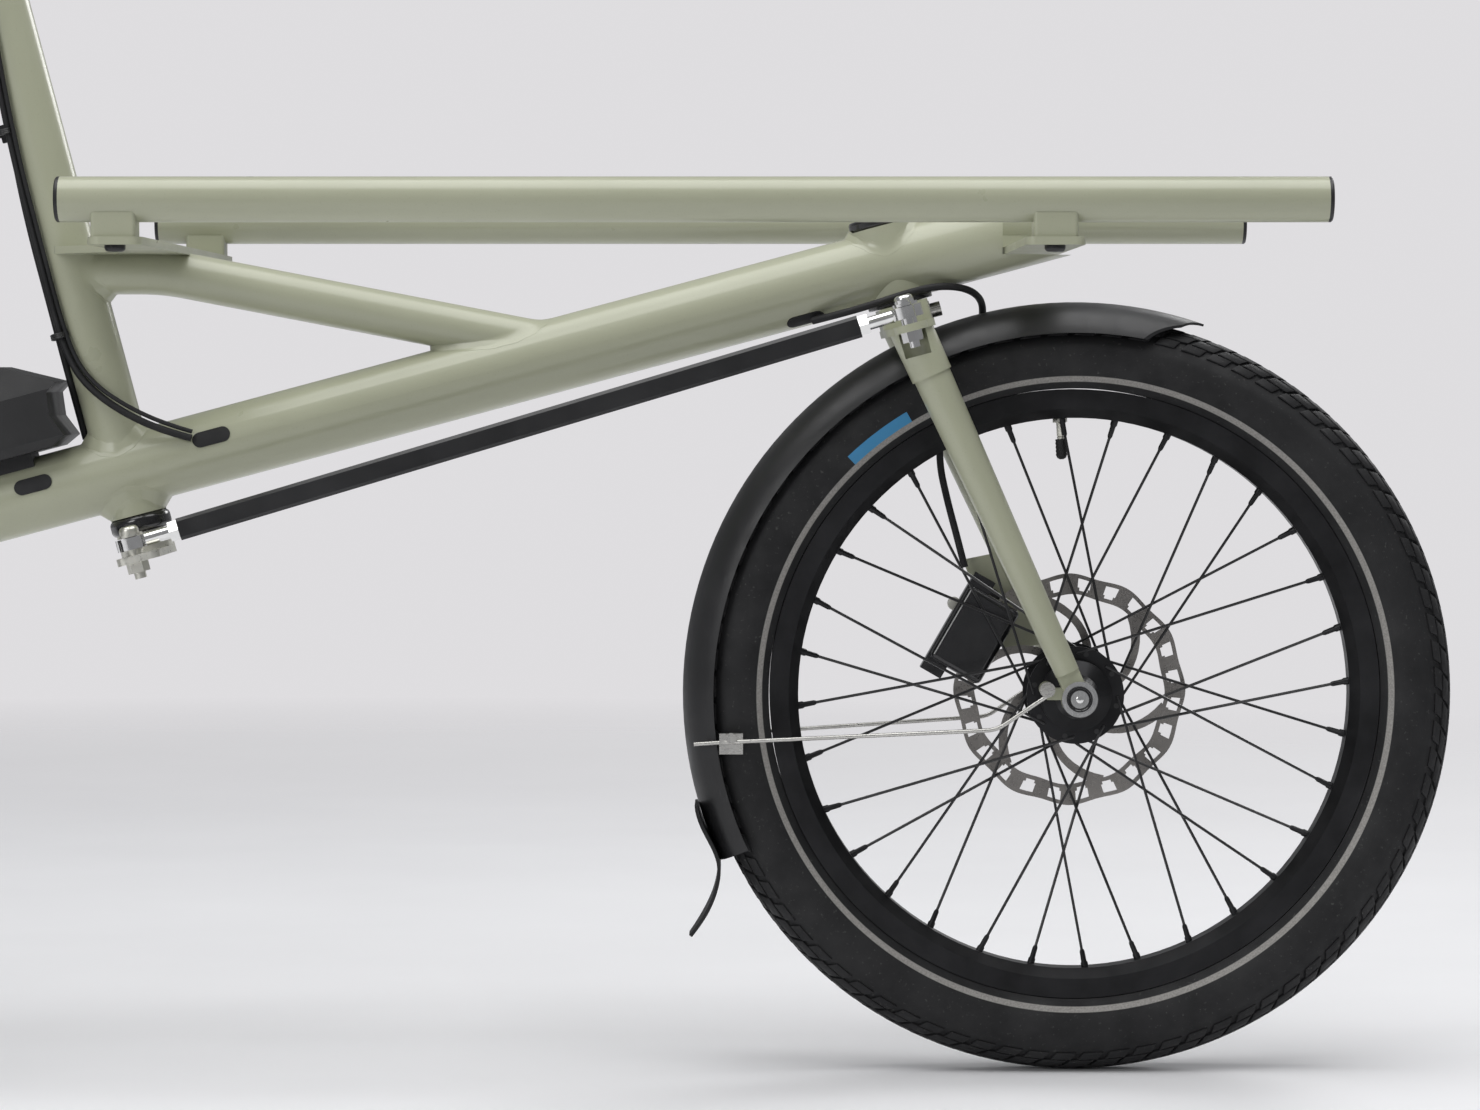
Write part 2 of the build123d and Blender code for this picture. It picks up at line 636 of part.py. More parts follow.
# ---------------------------------------------------------------- wheels
def tyre(radius, centre):
    """Hollow tyre casing, open towards the rim."""
    half = TYRE_W / 2
    middle = radius - half
    section = Pos(middle, 0) * (Circle(half) - Circle(half - CASING))
    section -= Pos(middle - BEAD_SHARE * half - 50, 0) * Rectangle(100, 2 * TYRE_W)
    return spin(section, centre)


def rim_outer(radius):
    return radius - (1 + BEAD_SHARE) * TYRE_W / 2


def rim(radius, centre):
    """Rim channel that the tyre sits in."""
    outer = rim_outer(radius)
    section = make_face(
        Polyline(
            (outer, 16.2), (outer - 13, 15.4), (outer - RIM_DEPTH, 8),
            (outer - RIM_DEPTH, -8), (outer - 13, -15.4),
            (outer, -16.2), (outer, -13.6), (outer - 9, -13), (outer - 14, -6), (outer - 14, 6),
            (outer - 9, 13), (outer, 13.6), close=True,
        )
    )
    return spin(section, centre)


def spokes(radius, centre, flange_r, flange_y, sweep_angle):
    """Crossed straight spokes between the hub flanges and the rim."""
    inner = rim_outer(radius) - RIM_DEPTH - 0.3
    wires = []
    for index in range(SPOKES):
        side = 1 if index % 2 else -1
        pair = index // 2
        lean = sweep_angle if pair % 2 else -sweep_angle
        outside = pair % 2
        angle = radians(90 + 2.6 + index * 360 / SPOKES)
        root = angle + radians(lean)
        y_root = side * (flange_y + (1 if outside else -1) * (FLANGE_THICK / 2 + SPOKE_R + 0.1))
        start = Vector(centre.X + flange_r * cos(root), y_root, centre.Z + flange_r * sin(root))
        end = Vector(centre.X + inner * cos(angle), side * 3.0, centre.Z + inner * sin(angle))
        wires.append(rod(start, end, SPOKE_R))
    return wires


def front_hub():
    """Black front hub: barrel, two flanges, bearing ends and the rotor's seat."""
    half = FORK_SPACING / 2 - 2.0
    low = FRONT_FLANGE_Y - FLANGE_THICK / 2
    high = FRONT_FLANGE_Y + FLANGE_THICK / 2
    seat = FRONT_ROTOR_Y - ROTOR_THICK / 2
    profile = make_face(
        Polyline(
            (AXLE_R + RUNNING, -half), (12, -half), (15, -40), (24, -31), (24, -high), (33, -high),
            (33, -low), (26, -low), (26, low), (33, low), (33, high), (24, high), (24, high + 3),
            (21, high + 7), (21, seat), (ROTOR_SEAT_R, seat), (ROTOR_SEAT_R, seat + 5), (12, seat + 6),
            (12, half), (AXLE_R + RUNNING, half), close=True,
        )
    )
    return spin(profile, FRONT_AXLE)


def rotor(centre, y, seat_r):
    """Brake rotor: slotted ring on swept arms."""
    ring = Circle(ROTOR_R) - Circle(ROTOR_R - 14.5)
    carrier = Circle(seat_r + 7) - Circle(seat_r)
    arms = 6
    for index in range(arms):
        base = index * 360 / arms
        inner = Vector((seat_r + 4) * cos(radians(base)), (seat_r + 4) * sin(radians(base)))
        out_angle = radians(base + 52)
        outer = Vector((ROTOR_R - 9) * cos(out_angle), (ROTOR_R - 9) * sin(out_angle))
        middle_angle = radians(base + 16)
        middle = Vector(0.66 * ROTOR_R * cos(middle_angle), 0.66 * ROTOR_R * sin(middle_angle))
        arc = ThreePointArc(tuple(inner), tuple(middle), tuple(outer))
        carrier += trace(arc, 6.5)
    for index in range(30):
        angle = index * 12
        turn = 32 if index % 3 else -60
        slot = Rot(0, 0, angle) * Pos(ROTOR_R - 7.2, 0) * Rot(0, 0, turn) * SlotOverall(9, 3.2)
        ring -= slot
    plan = ring + carrier
    plane = Plane(origin=(centre.X, y, centre.Z), x_dir=(1, 0, 0), z_dir=(0, -1, 0))
    return extrude(plane * plan, ROTOR_THICK / 2, both=True)


def rear_hub():
    """Gear hub shell with its flanges and the rotor's seat on the left."""
    low = REAR_FLANGE_Y - FLANGE_THICK / 2
    high = REAR_FLANGE_Y + FLANGE_THICK / 2
    seat = REAR_ROTOR_Y - ROTOR_THICK / 2
    profile = make_face(
        Polyline(
            (REAR_AXLE_R + RUNNING, -38), (30, -38), (38, -33), (38, -high), (48, -high), (48, -low),
            (41, -low), (41, low), (48, low), (48, high), (36, high), (36, high + 4), (21, high + 12),
            (21, seat), (ROTOR_SEAT_R, seat), (ROTOR_SEAT_R, seat + 5), (14, seat + 7), (14, 62),
            (REAR_AXLE_R + RUNNING, 62), close=True,
        )
    )
    return spin(profile, REAR_AXLE)


def front_axle():
    """Through axle with its round end caps."""
    reach = LEG_Y + 7.5
    axle = across(0, -reach, reach, FRONT_AXLE.Z, AXLE_R)
    for side in (-1, 1):
        cap = across(0, side * (LEG_Y + 3), side * reach, FRONT_AXLE.Z, 12)
        cap -= across(0, side * (reach - 2.5), side * (reach + 1), FRONT_AXLE.Z, 9.6)
        axle += cap + across(0, side * (LEG_Y + 3), side * (reach - 0.6), FRONT_AXLE.Z, 4.5)
    return axle


def rear_axle():
    """Solid rear axle with domed nuts outside the dropouts."""
    outside = REAR_SPACING / 2 + 6
    axle = across(REAR_AXLE.X, -outside - 12, outside + 12, REAR_AXLE.Z, REAR_AXLE_R)
    for side in (-1, 1):
        plane = Plane(origin=(REAR_AXLE.X, side * outside, REAR_AXLE.Z), z_dir=(0, side, 0))
        axle += hexagon_bar(plane, 18, 9)
        outer = REAR_SPACING / 2
        collar = across(REAR_AXLE.X, side * outer, side * (outer - 4), REAR_AXLE.Z, 12)
        axle += collar
    return axle


# ---------------------------------------------------------------- fork
def leg_line():
    """Centre line of a fork leg in the side view: from the crown straight to the axle."""
    top = fork_point(CROWN_BOTTOM + 2)
    return top, FRONT_AXLE


def fork_leg(side):
    """Tapered leg with its sleeve at the top and a flat round dropout."""
    top, axle = leg_line()
    run = axle - top
    y = side * LEG_Y
    start = Vector(top.X, y, top.Z)
    foot = start + run * 0.93
    leg = cone_rod(start, foot, LEG_TOP_R, LEG_END_R)
    sleeve_end = start + run * 0.13
    leg += cone_rod(start, sleeve_end, LEG_TOP_R + SLEEVE, LEG_TOP_R + SLEEVE / 2)
    inner_face = side * FORK_SPACING / 2
    leg += across(axle.X, inner_face, side * (LEG_Y + 3), axle.Z, DROPOUT_R)
    tang = rod(foot - run * 0.05, foot + run * 0.05, 8.0)
    slab = Pos(axle.X, side * (FORK_SPACING / 4 + LEG_Y / 2 + 1.5), axle.Z) * Box(
        90, LEG_Y + 3 - FORK_SPACING / 2, 90)
    leg += tang & slab
    leg -= across(axle.X, inner_face, -inner_face, axle.Z, 60)
    leg += across(EYELET_X, inner_face, side * (LEG_Y + 3), EYELET_Z, EYELET_R)
    leg += Pos(EYELET_X / 2, side * (FORK_SPACING / 2 + 4), (EYELET_Z + axle.Z) / 2) * Box(-EYELET_X, 8, 8)
    leg -= across(axle.X, 0, side * 90, axle.Z, AXLE_R)
    return leg


def stud_axis_cut(plane, side, low, high, radius):
    return plane * Pos(0, side * ARM_REACH, low) * Cylinder(radius, high - low, align=LOW)


def fork():
    """Steerer, crown, lugs and two straight legs in one welded piece."""
    crown = FORK * Pos(0, 0, CROWN_BOTTOM) * Box(LUG_DEPTH, CROWN_WIDTH, CROWN_TOP - CROWN_BOTTOM, align=LOW)
    crown = fillet(crown.edges().filter_by(lambda e: e.length < 20), 5)
    shoulder = FORK * Pos(0, 0, ARM_TOP - ARM_THICK) * Box(LUG_DEPTH, 2 * LEG_Y, ARM_THICK, align=LOW)
    ends = []
    for side in (-1, 1):
        ends.append(FORK * Pos(0, side * LEG_Y, ARM_TOP - ARM_THICK) * Cylinder(LUG_R, ARM_THICK, align=LOW))
    arm = FORK * Pos(0, -ARM_REACH, ARM_TOP - ARM_THICK) * Cylinder(ARM_END_R, ARM_THICK, align=LOW)
    arm += FORK * Pos(0, -(ARM_REACH + LEG_Y) / 2, ARM_TOP - ARM_THICK) * Box(
        2 * ARM_END_R, ARM_REACH - LEG_Y, ARM_THICK, align=LOW)
    steerer = rod(fork_point(CROWN_TOP - 2), fork_point(HEAD_TOP + 14), SHAFT_OD / 2)
    body = crown + shoulder + ends[0] + ends[1] + arm + steerer
    over = FORK * Pos(0, 0, ARM_TOP) * Box(120, 400, 60, align=LOW)
    for side in (-1, 1):
        body += fork_leg(side) - over
    body -= stud_axis_cut(FORK, -1, -30, ARM_TOP - ARM_THICK, 9.2)
    body -= stud_axis_cut(FORK, -1, -30, 20, STUD_R)
    tab = brake_tab()
    return body + tab


def brake_tab():
    """Bracket behind the left leg that the caliper bolts to."""
    top, axle = leg_line()
    run = (axle - top).normalized()
    low = axle - run * 34
    high = axle - run * 104
    back = Vector(-30, 0, -6)
    outline = Polyline(
        (low.X, low.Z), (high.X, high.Z), (high.X + back.X, high.Z + back.Z),
        (low.X + back.X, low.Z + back.Z), close=True,
    )
    plane = Plane(origin=(0, LEG_Y - 4, 0), x_dir=(1, 0, 0), z_dir=(0, -1, 0))
    tab = extrude(plane * make_face(outline), 2.5, both=True)
    return tab - across(0, -90, 90, FRONT_AXLE.Z, 20)


def ball_stud(plane):
    """Link stud through an arm: domed head, ball in the eye, nut below."""
    local = plane * Pos(0, -ARM_REACH, 0)
    head_low = EYE_HALF + AIR
    arm_low = ARM_TOP - ARM_THICK
    stud = local * Pos(0, 0, arm_low - 11) * Cylinder(STUD_R - RUNNING, 4 - arm_low + 11, align=LOW)
    ball = (local * Sphere(BALL_R)) & (local * Box(30, 30, 2 * head_low + 0.2))
    washer = local * Pos(0, 0, ARM_TOP) * Cylinder(5.4, -ARM_TOP - EYE_HALF + 0.3, align=LOW)
    flange = local * Pos(0, 0, head_low) * Cylinder(8.6, 2.0, align=LOW)
    dome = local * Pos(0, 0, head_low + 2.0) * Cylinder(6.6, 5.4, align=LOW)
    dome = fillet(dome.edges().filter_by(GeomType.CIRCLE).sort_by(Axis.Z)[-1], 3.2)
    hexagon = RegularPolygon(NUT_FLATS / sqrt(3), 6)
    nut = local * Pos(0, 0, arm_low - NUT_HEIGHT) * extrude(hexagon, NUT_HEIGHT)
    return stud + ball + washer + flange + dome + nut


# ---------------------------------------------------------------- front mudguard, caliper and hose
def fender_profile(radius):
    """Rounded channel section over a tyre."""
    inner = radius + FENDER_GAP
    outer = inner + FENDER_WALL
    half = FENDER_W / 2
    crown = ThreePointArc((outer - FENDER_DEPTH, -half), (outer, 0), (outer - FENDER_DEPTH, half))
    low = half - FENDER_WALL
    inside = ThreePointArc((outer - FENDER_DEPTH, low), (inner, 0), (outer - FENDER_DEPTH, -low))
    ends = [Line(crown @ 1, inside @ 0), Line(inside @ 1, crown @ 0)]
    return make_face(crown + ends[0] + inside + ends[1])


def polar(centre, radius, angle, y=0.0):
    """Point around a wheel, its angle measured up from straight ahead."""
    return Vector(
        centre.X + radius * cos(radians(angle)), y, centre.Z + radius * sin(radians(angle))
    )


def front_fender():
    """Front mudguard with a pointed leading tip."""
    shell = spin(fender_profile(FRONT_R), FRONT_AXLE, FENDER_START, FENDER_END - FENDER_START)
    outer = FRONT_R + FENDER_GAP + FENDER_WALL
    tip = outer * sin(radians(FENDER_FULL - FENDER_START))
    base = polar(FRONT_AXLE, outer, FENDER_FULL)
    out = (base - FRONT_AXLE).normalized()
    plane = Plane(origin=base, x_dir=Vector(out.Z, 0, -out.X), z_dir=out)
    half = FENDER_W / 2
    for side in (-1, 1):
        outline = Polyline(
            (0, side * half), (0.6 * tip, side * 0.6 * half), (tip, 0), (tip + 30, 0),
            (tip + 30, side * (half + 6)), (0, side * (half + 6)), close=True,
        )
        shell -= extrude(plane * make_face(outline), 60, both=True)
    return shell


def mud_flap():
    """Rubber flap on the mudguard's rear end, flaring back to a rounded tip."""
    radius = FRONT_R + FENDER_GAP + FENDER_WALL + FLAP_T / 2 + 0.1
    points = [polar(FRONT_AXLE, radius, angle) for angle in (FENDER_END - 9, FENDER_END - 4.5, FENDER_END)]
    tail = [(p.X, p.Z) for p in points]
    last = points[-1]
    tail += [(last.X - 1, last.Z - 16), (last.X - 8, last.Z - 34), (last.X - 19, last.Z - 51)]
    face = trace(Spline(*tail), FLAP_T)
    plane = Plane(origin=(0, 0, 0), x_dir=(1, 0, 0), z_dir=(0, -1, 0))
    sheet = extrude(plane * face, 26, both=True)
    outline = Polyline(
        (-25, last.Z + 60), (25, last.Z + 60), (25, last.Z + 4), (21, last.Z - 36), (11, last.Z - 52),
        (-11, last.Z - 52), (-21, last.Z - 36), (-25, last.Z + 4), close=True,
    )
    front = Plane(origin=(-400, 0, 0), x_dir=(0, 1, 0), z_dir=(1, 0, 0))
    return (sheet & extrude(front * make_face(outline), 300)) - front_fender()


def fender_wire(side):
    """Stay from the dropout eyelet to the mudguard, with its ring, screw and clip."""
    y0 = side * (LEG_Y + 4.6)
    wire = bent(
        [
            (EYELET_X, y0, EYELET_Z - 4), (EYELET_X - 34, side * 61, EYELET_Z - 27),
            (-238, side * 36, 226), (-258, side * 33.4, 224.5),
        ],
        WIRE_R, [22, 60],
    )
    wire += across(EYELET_X, side * (LEG_Y + 3.1), side * (LEG_Y + 6), EYELET_Z, 5.2)
    screw = across(EYELET_X, side * (LEG_Y + 6), side * (LEG_Y + 9), EYELET_Z, 3.6)
    clip = Pos(-233, side * 34.2, 225) * Box(16, 6, 14)
    clip += across(-233, side * 37, side * 40, 229, 3.6)
    clip -= front_fender()
    return [wire + screw + clip]


def front_stays():
    """Steel stays on both sides and the strap under the crown."""
    strap = FORK * Pos(LUG_DEPTH / 2 + 0.8, 0, CROWN_BOTTOM + 1) * Box(1.6, 14, 15, align=LOW)
    bolt = FORK * Pos(LUG_DEPTH / 2 + 1.6, 0, CROWN_BOTTOM + 9) * Rot(0, 90, 0) * Cylinder(5, 7, align=LOW)
    return fender_wire(-1) + fender_wire(1) + [strap + bolt]


def caliper(centre, disc_y, angle, inner_y, outer_y, arm_y):
    """Two-piston brake caliper straddling the rotor's rim."""
    middle = polar(centre, ROTOR_R - 4, angle, (inner_y + outer_y) / 2)
    radial = Vector(cos(radians(angle)), 0, sin(radians(angle)))
    plane = Plane(origin=middle, x_dir=radial, z_dir=(0, 1, 0))
    width = outer_y - inner_y
    body = plane * Box(40, 58, width)
    body = fillet(body.edges().filter_by(lambda e: e.length < 59), 4)
    shape = body + plane * Pos(13, 0, 0) * Box(16, 76, width * 0.6)
    shape -= across(centre.X, disc_y - 2.2, disc_y + 2.2, centre.Z, ROTOR_R + 4)
    post = polar(centre, ROTOR_R - 2, angle, 0) + Vector(*arm_y[0])
    shape += across(post.X, outer_y - 3, arm_y[1], post.Z, 6)
    return shape


def front_caliper():
    return caliper(FRONT_AXLE, FRONT_ROTOR_Y, 150, 25.5, 46, ((14, 0, 24), LEG_Y - 6.6))


def rear_caliper():
    return caliper(REAR_AXLE, REAR_ROTOR_Y, 27, 40.5, 57, ((2, 0, -22), 57.9))


def lower_hose():
    """Front brake hose from the main tube's port, round the crown and down the left leg."""
    points = [
        (-178, -19.6, 510), (-160, -26, 514.5), (-139, -30, 520.5), (-118, -30.5, 527.5),
        (-98, -28, 533), (-81, -17, 533.5), (-68, -1, 530), (-61, 16, 522.5), (-61, 31, 509),
        (-68, 39, 490), (-79, 40, 467), (-88, 40.5, 441), (-90, 42, 414), (-84, 43, 387),
        (-77, 42, 361), (-72, 40, 341),
    ]
    return cord("lower_hose", points, HOSE_R)


# ---------------------------------------------------------------- drag link
def link_plane(eye, direction):
    """Plane at an eye, looking along the link."""
    return Plane(origin=eye + Vector(0, -ARM_REACH, 0), x_dir=(0, 1, 0), z_dir=direction)


def link_bar():
    """Square bar with broken edges and a threaded hole at each end."""
    plane = link_plane(COLUMN_EYE, LINK_DIR)
    bar = plane * Pos(0, 0, BAR_END) * Box(BAR_SIZE, BAR_SIZE, LINK_LENGTH - 2 * BAR_END, align=LOW)
    long_edges = bar.edges().filter_by(lambda e: e.length > BAR_SIZE * 2)
    bar = chamfer(long_edges, 2.2)
    for end in (BAR_END - 1, LINK_LENGTH - BAR_END - 19):
        bar -= plane * Pos(0, 0, end) * Cylinder(ROD_END_R, 20, align=LOW)
    return bar


def rod_end(eye, direction, clearance):
    """Eye, threaded shank and lock nut at one end of the link."""
    centre = eye + Vector(0, -ARM_REACH, 0)
    local = Plane(origin=centre, x_dir=FORWARD, z_dir=UP)
    ring = local * Pos(0, 0, -EYE_HALF) * Cylinder(EYE_R, 2 * EYE_HALF, align=LOW)
    plane = link_plane(eye, direction)
    ring += plane * Pos(0, 0, SHANK_START) * Cylinder(ROD_END_R, BAR_END + 17.5 - SHANK_START, align=LOW)
    ring += plane * Pos(0, 0, BAR_END - 6.5) * extrude(RegularPolygon(NUT_FLATS / sqrt(3), 6), 6.4)
    return ring - local * Pos(0, 0, -20) * Cylinder(BALL_R + clearance, 40, align=LOW)


def link_rod_ends():
    return [rod_end(COLUMN_EYE, LINK_DIR, RUNNING), rod_end(FORK_EYE, -LINK_DIR, OPEN_PIVOT)]


# ---------------------------------------------------------------- steering column and handlebar
def column_shaft():
    """Steering shaft through the column, closed at the foot."""
    low = ARM_TOP - ARM_THICK
    shaft = rod(column_point(low), column_point(STEM_LOW + STEM_LENGTH), SHAFT_OD / 2)
    return shaft - rod(column_point(low + 4), column_point(STEM_LOW + 60), SHAFT_OD / 2 - SHAFT_WALL)


def column_arm():
    """Arm clamped to the shaft's foot, reaching sideways to the link."""
    low = ARM_TOP - ARM_THICK
    hub = COLUMN * Pos(0, 0, low) * Cylinder(ARM_HUB_R, ARM_HUB, align=LOW)
    face = Pos(3, -(ARM_REACH + 13) / 2) * Rectangle(30, ARM_REACH + 13)
    face = fillet(face.vertices(), 6)
    arm = hub + extrude(COLUMN * Pos(0, 0, low) * face, ARM_THICK)
    arm -= COLUMN * Pos(0, 0, -30) * Cylinder(SHAFT_OD / 2, 60, align=LOW)
    return arm - COLUMN * Pos(0, -ARM_REACH, -30) * Cylinder(STUD_R, 60, align=LOW)


def bar_points(side):
    """Half of the handlebar, in the column's own directions."""
    return [
        (STEM_REACH, 0, STEM_MID), (STEM_REACH, side * 52, STEM_MID),
        (STEM_REACH - 16, side * 126, STEM_MID + BAR_RISE),
        (STEM_REACH - BAR_SWEEP, side * BAR_HALF, STEM_MID + BAR_RISE + 4),
    ]


def column_world(point):
    return COLUMN.from_local_coords(Vector(*point))


def handlebar():
    """Rising, swept-back handlebar, thicker where the stem grips it."""
    left = [column_world(p) for p in bar_points(1)]
    right = [column_world(p) for p in bar_points(-1)]
    points = [tuple(p) for p in reversed(left[1:])] + [tuple(p) for p in right[1:]]
    bar = bent(points, BAR_OD / 2, [60, 50, 50, 60], BAR_WALL)
    clamp_zone = rod(
        column_world((STEM_REACH, -26, STEM_MID)), column_world((STEM_REACH, 26, STEM_MID)), BAR_CLAMP_R
    )
    core = rod(
        column_world((STEM_REACH, -30, STEM_MID)), column_world((STEM_REACH, 30, STEM_MID)), BAR_OD / 2
    )
    return bar + (clamp_zone - core)


def grip_frame(side):
    """Plane at the end of the bar, looking inwards along it."""
    end = column_world(bar_points(side)[-1])
    before = column_world(bar_points(side)[-2])
    inward = (before - end).normalized()
    return Plane(origin=end, x_dir=FORWARD - inward * FORWARD.dot(inward), z_dir=inward)


def grips():
    """Ribbed rubber grips with closed ends."""
    pieces = []
    for side in (-1, 1):
        plane = grip_frame(side)
        grip = plane * Pos(0, 0, -4) * Cylinder(GRIP_R, GRIP_L, align=LOW)
        grip = fillet(grip.edges().filter_by(GeomType.CIRCLE), 3)
        grip += plane * Pos(0, 0, GRIP_L - 8) * Cylinder(GRIP_R + 1.6, 4, align=LOW)
        pieces.append(grip - plane * Cylinder(BAR_OD / 2, GRIP_L, align=LOW))
    return pieces


def lever_frame(side):
    """Plane on the bar at the lever clamp, turned down to where fingers reach."""
    plane = grip_frame(side)
    return plane * Pos(0, 0, GRIP_L + 8) * Rot(0, 0, -side * LEVER_DROP)


def brake_clamps():
    """Lever clamps with their fluid cylinders."""
    pieces = []
    for side in (-1, 1):
        frame = lever_frame(side)
        ring = frame * Cylinder(15.5, 14, align=LOW)
        arm = frame * Pos(20, 0, 6) * Box(24, 11, 12)
        body = frame * Pos(LEVER_OUT, 0, 14) * Cylinder(8.5, 52)
        ears = frame * Pos(LEVER_OUT + 2, 0, -13) * Box(13, 14, 10)
        piece = ring + arm + body + ears
        piece -= frame * Pos(0, 0, -5) * Cylinder(BAR_OD / 2, 30, align=LOW)
        piece -= frame * Pos(LEVER_OUT + 2, 0, -15) * Box(30, LEVER_T + 2 * AIR, 22)
        piece += frame * Pos(LEVER_OUT + 2, 0, -13) * Rot(90, 0, 0) * Cylinder(LEVER_PIN, 14)
        pieces.append(piece)
    return pieces


def brake_lever(side):
    """Lever blade that turns on the clamp's pin."""
    frame = lever_frame(side)
    blade = frame * Pos(LEVER_OUT + 8, 0, -13 - LEVER_LENGTH / 2) * Box(9, LEVER_T, LEVER_LENGTH)
    tip = frame * Pos(LEVER_OUT + 8, 0, -13 - LEVER_LENGTH) * Rot(90, 0, 0) * Cylinder(7, LEVER_T)
    boss = frame * Pos(LEVER_OUT + 2, 0, -13) * Rot(90, 0, 0) * Cylinder(5.6, LEVER_T)
    neck = frame * Pos(LEVER_OUT + 6, 0, -17) * Box(8, LEVER_T, 12)
    lever = blade + tip + boss + neck
    return lever - frame * Pos(LEVER_OUT + 2, 0, -13) * Rot(90, 0, 0) * Cylinder(LEVER_PIN + RUNNING, 40)


def stem():
    """Clamp on the shaft, short extension and bar clamp, with a top cap."""
    body = COLUMN * Pos(0, 0, STEM_LOW) * Cylinder(STEM_R, STEM_LENGTH, align=LOW)
    body += COLUMN * Pos(STEM_REACH / 2, 0, STEM_MID) * Rot(0, 90, 0) * Cylinder(14.5, STEM_REACH)
    body += COLUMN * Pos(STEM_REACH, 0, STEM_MID) * Rot(90, 0, 0) * Cylinder(20.5, 46)
    body -= COLUMN * Pos(STEM_REACH, 0, STEM_MID) * Rot(90, 0, 0) * Cylinder(BAR_CLAMP_R, 60)
    body -= COLUMN * Pos(0, 0, STEM_LOW - 1) * Cylinder(SHAFT_OD / 2, 60, align=LOW)
    cap = COLUMN * Pos(0, 0, STEM_LOW + STEM_LENGTH) * Cylinder(17, 4, align=LOW)
    base = COLUMN_TOP + CAP_HIGH + AIR
    ring = COLUMN * Pos(0, 0, base) * Cylinder(17.5, STEM_GAP - CAP_HIGH - AIR, align=LOW)
    ring -= COLUMN * Cylinder(SHAFT_OD / 2, 900, align=LOW)
    return body + cap + ring


def upper_hoses():
    """Brake hoses and the motor cable, from the handlebar down the column to the main tube."""
    front = [
        (67, -149, 678), (76, -116, 664), (78, -84, 632), (68, -58, 592), (46, -41, 552),
        (20, -30, 508), (-2, -24.5, 460), (-9, -21.6, 408), (-9.8, -21.4, 364), (-13.6, -18.2, 318),
        (-16.8, -15.4, 266), (-17.4, -14.8, 214), (-17.9, -14.6, 162),
    ]
    front = [tuple(column_world(p)) for p in front]
    front += [(-682.5, -17, 489), (-673, -20.4, 472), (-657.5, -23.6, 457.5), (-636, -26, 444.5),
              (-614, -27.2, 435.5), (-597, -27, 431)]
    rear = [
        (67, 149, 678), (76, 116, 664), (78, 84, 632), (66, 56, 590), (44, 39, 548),
        (20, 30, 503), (0, 25.5, 455), (-9, 21.8, 405), (-10.5, 21, 362), (-15.5, 16.6, 318),
        (-20, 10, 272), (-21.8, 5.4, 222), (-21.7, 4.6, 170), (-22, 4.2, 120), (-21.8, 4.6, 76.5),
    ]
    rear = [tuple(column_world(p)) for p in rear]
    cable = [
        (30, -24.6, 604), (17, -25.2, 560), (7, -25.8, 514), (1.6, -25.6, 466), (-4.6, -23.2, 416),
        (-5.2, -22.8, 366), (-9.8, -21, 318), (-13.2, -18.8, 266), (-13.6, -18.4, 214), (-14, -18, 164),
    ]
    cable = [tuple(column_world(p)) for p in cable]
    cable += [(-678.5, -19.8, 490.5), (-669.5, -22.6, 474.8), (-655, -25, 461.4), (-634, -26, 449),
              (-612.5, -27, 440), (-596.5, -26.8, 435.4)]
    return [
        cord("front_brake_hose", front, HOSE_R),
        cord("rear_brake_hose", rear, HOSE_R),
        cord("motor_cable", cable, 1.5),
    ]


def rear_hose():
    """Rear brake hose between the left chainstay and the caliper."""
    x, z = REAR_AXLE.X, REAR_AXLE.Z
    points = [
        (x + 190, 52.5, z - 8), (x + 172, 53.5, z + 7), (x + 148, 53, z + 20), (x + 126, 51, z + 34),
        (x + 104, 48.5, z + 49),
    ]
    return cord("rear_hose", points, HOSE_R)


# ---------------------------------------------------------------- drive
def crankset():
    """Spindle, both crank arms with their pedal pins, and the chainring."""
    set_ = across(BB.X, -CRANK_INNER - CRANK_THICK, CRANK_INNER + CRANK_THICK, BB.Z, SPINDLE_R)
    for side, ahead in ((-1, 1), (1, -1)):
        y = side * (CRANK_INNER + CRANK_THICK / 2)
        end_x = BB.X + ahead * CRANK
        arm = Pos((BB.X + end_x) / 2, y, BB.Z) * Box(CRANK, CRANK_THICK, 22)
        arm = chamfer(arm.edges().filter_by(Axis.X), 3)
        arm += across(BB.X, y - CRANK_THICK / 2, y + CRANK_THICK / 2, BB.Z, 19)
        arm += across(end_x, y - CRANK_THICK / 2, y + CRANK_THICK / 2, BB.Z, 14)
        set_ += arm
        set_ += across(end_x, y, side * (PEDAL_INNER + PEDAL_L - 14), BB.Z, PEDAL_PIN)
    ring_r = RING_R - CHAIN_HEIGHT / 2 - 0.5
    plan = Circle(ring_r) - Circle(ring_r - 14)
    for index in range(5):
        plan += Rot(0, 0, 36 + index * 72) * Pos(ring_r / 2, 0) * Rectangle(ring_r - 4, 17)
    plan += Circle(24)
    plane = Plane(origin=(BB.X, -CHAIN_LINE, BB.Z), x_dir=(1, 0, 0), z_dir=(0, -1, 0))
    set_ += extrude(plane * plan, 2, both=True)
    set_ += across(BB.X, -CHAIN_LINE + 4, -CRANK_INNER, BB.Z, 17)
    return set_


def chain_loop(grow):
    """Outline that wraps the chainring and the rear cog."""
    ring = Pos(BB.X, BB.Z) * Circle(RING_R + grow)
    cog = Pos(REAR_AXLE.X, REAR_AXLE.Z) * Circle(COG_R + grow)
    return make_hull(ring.edges() + cog.edges())


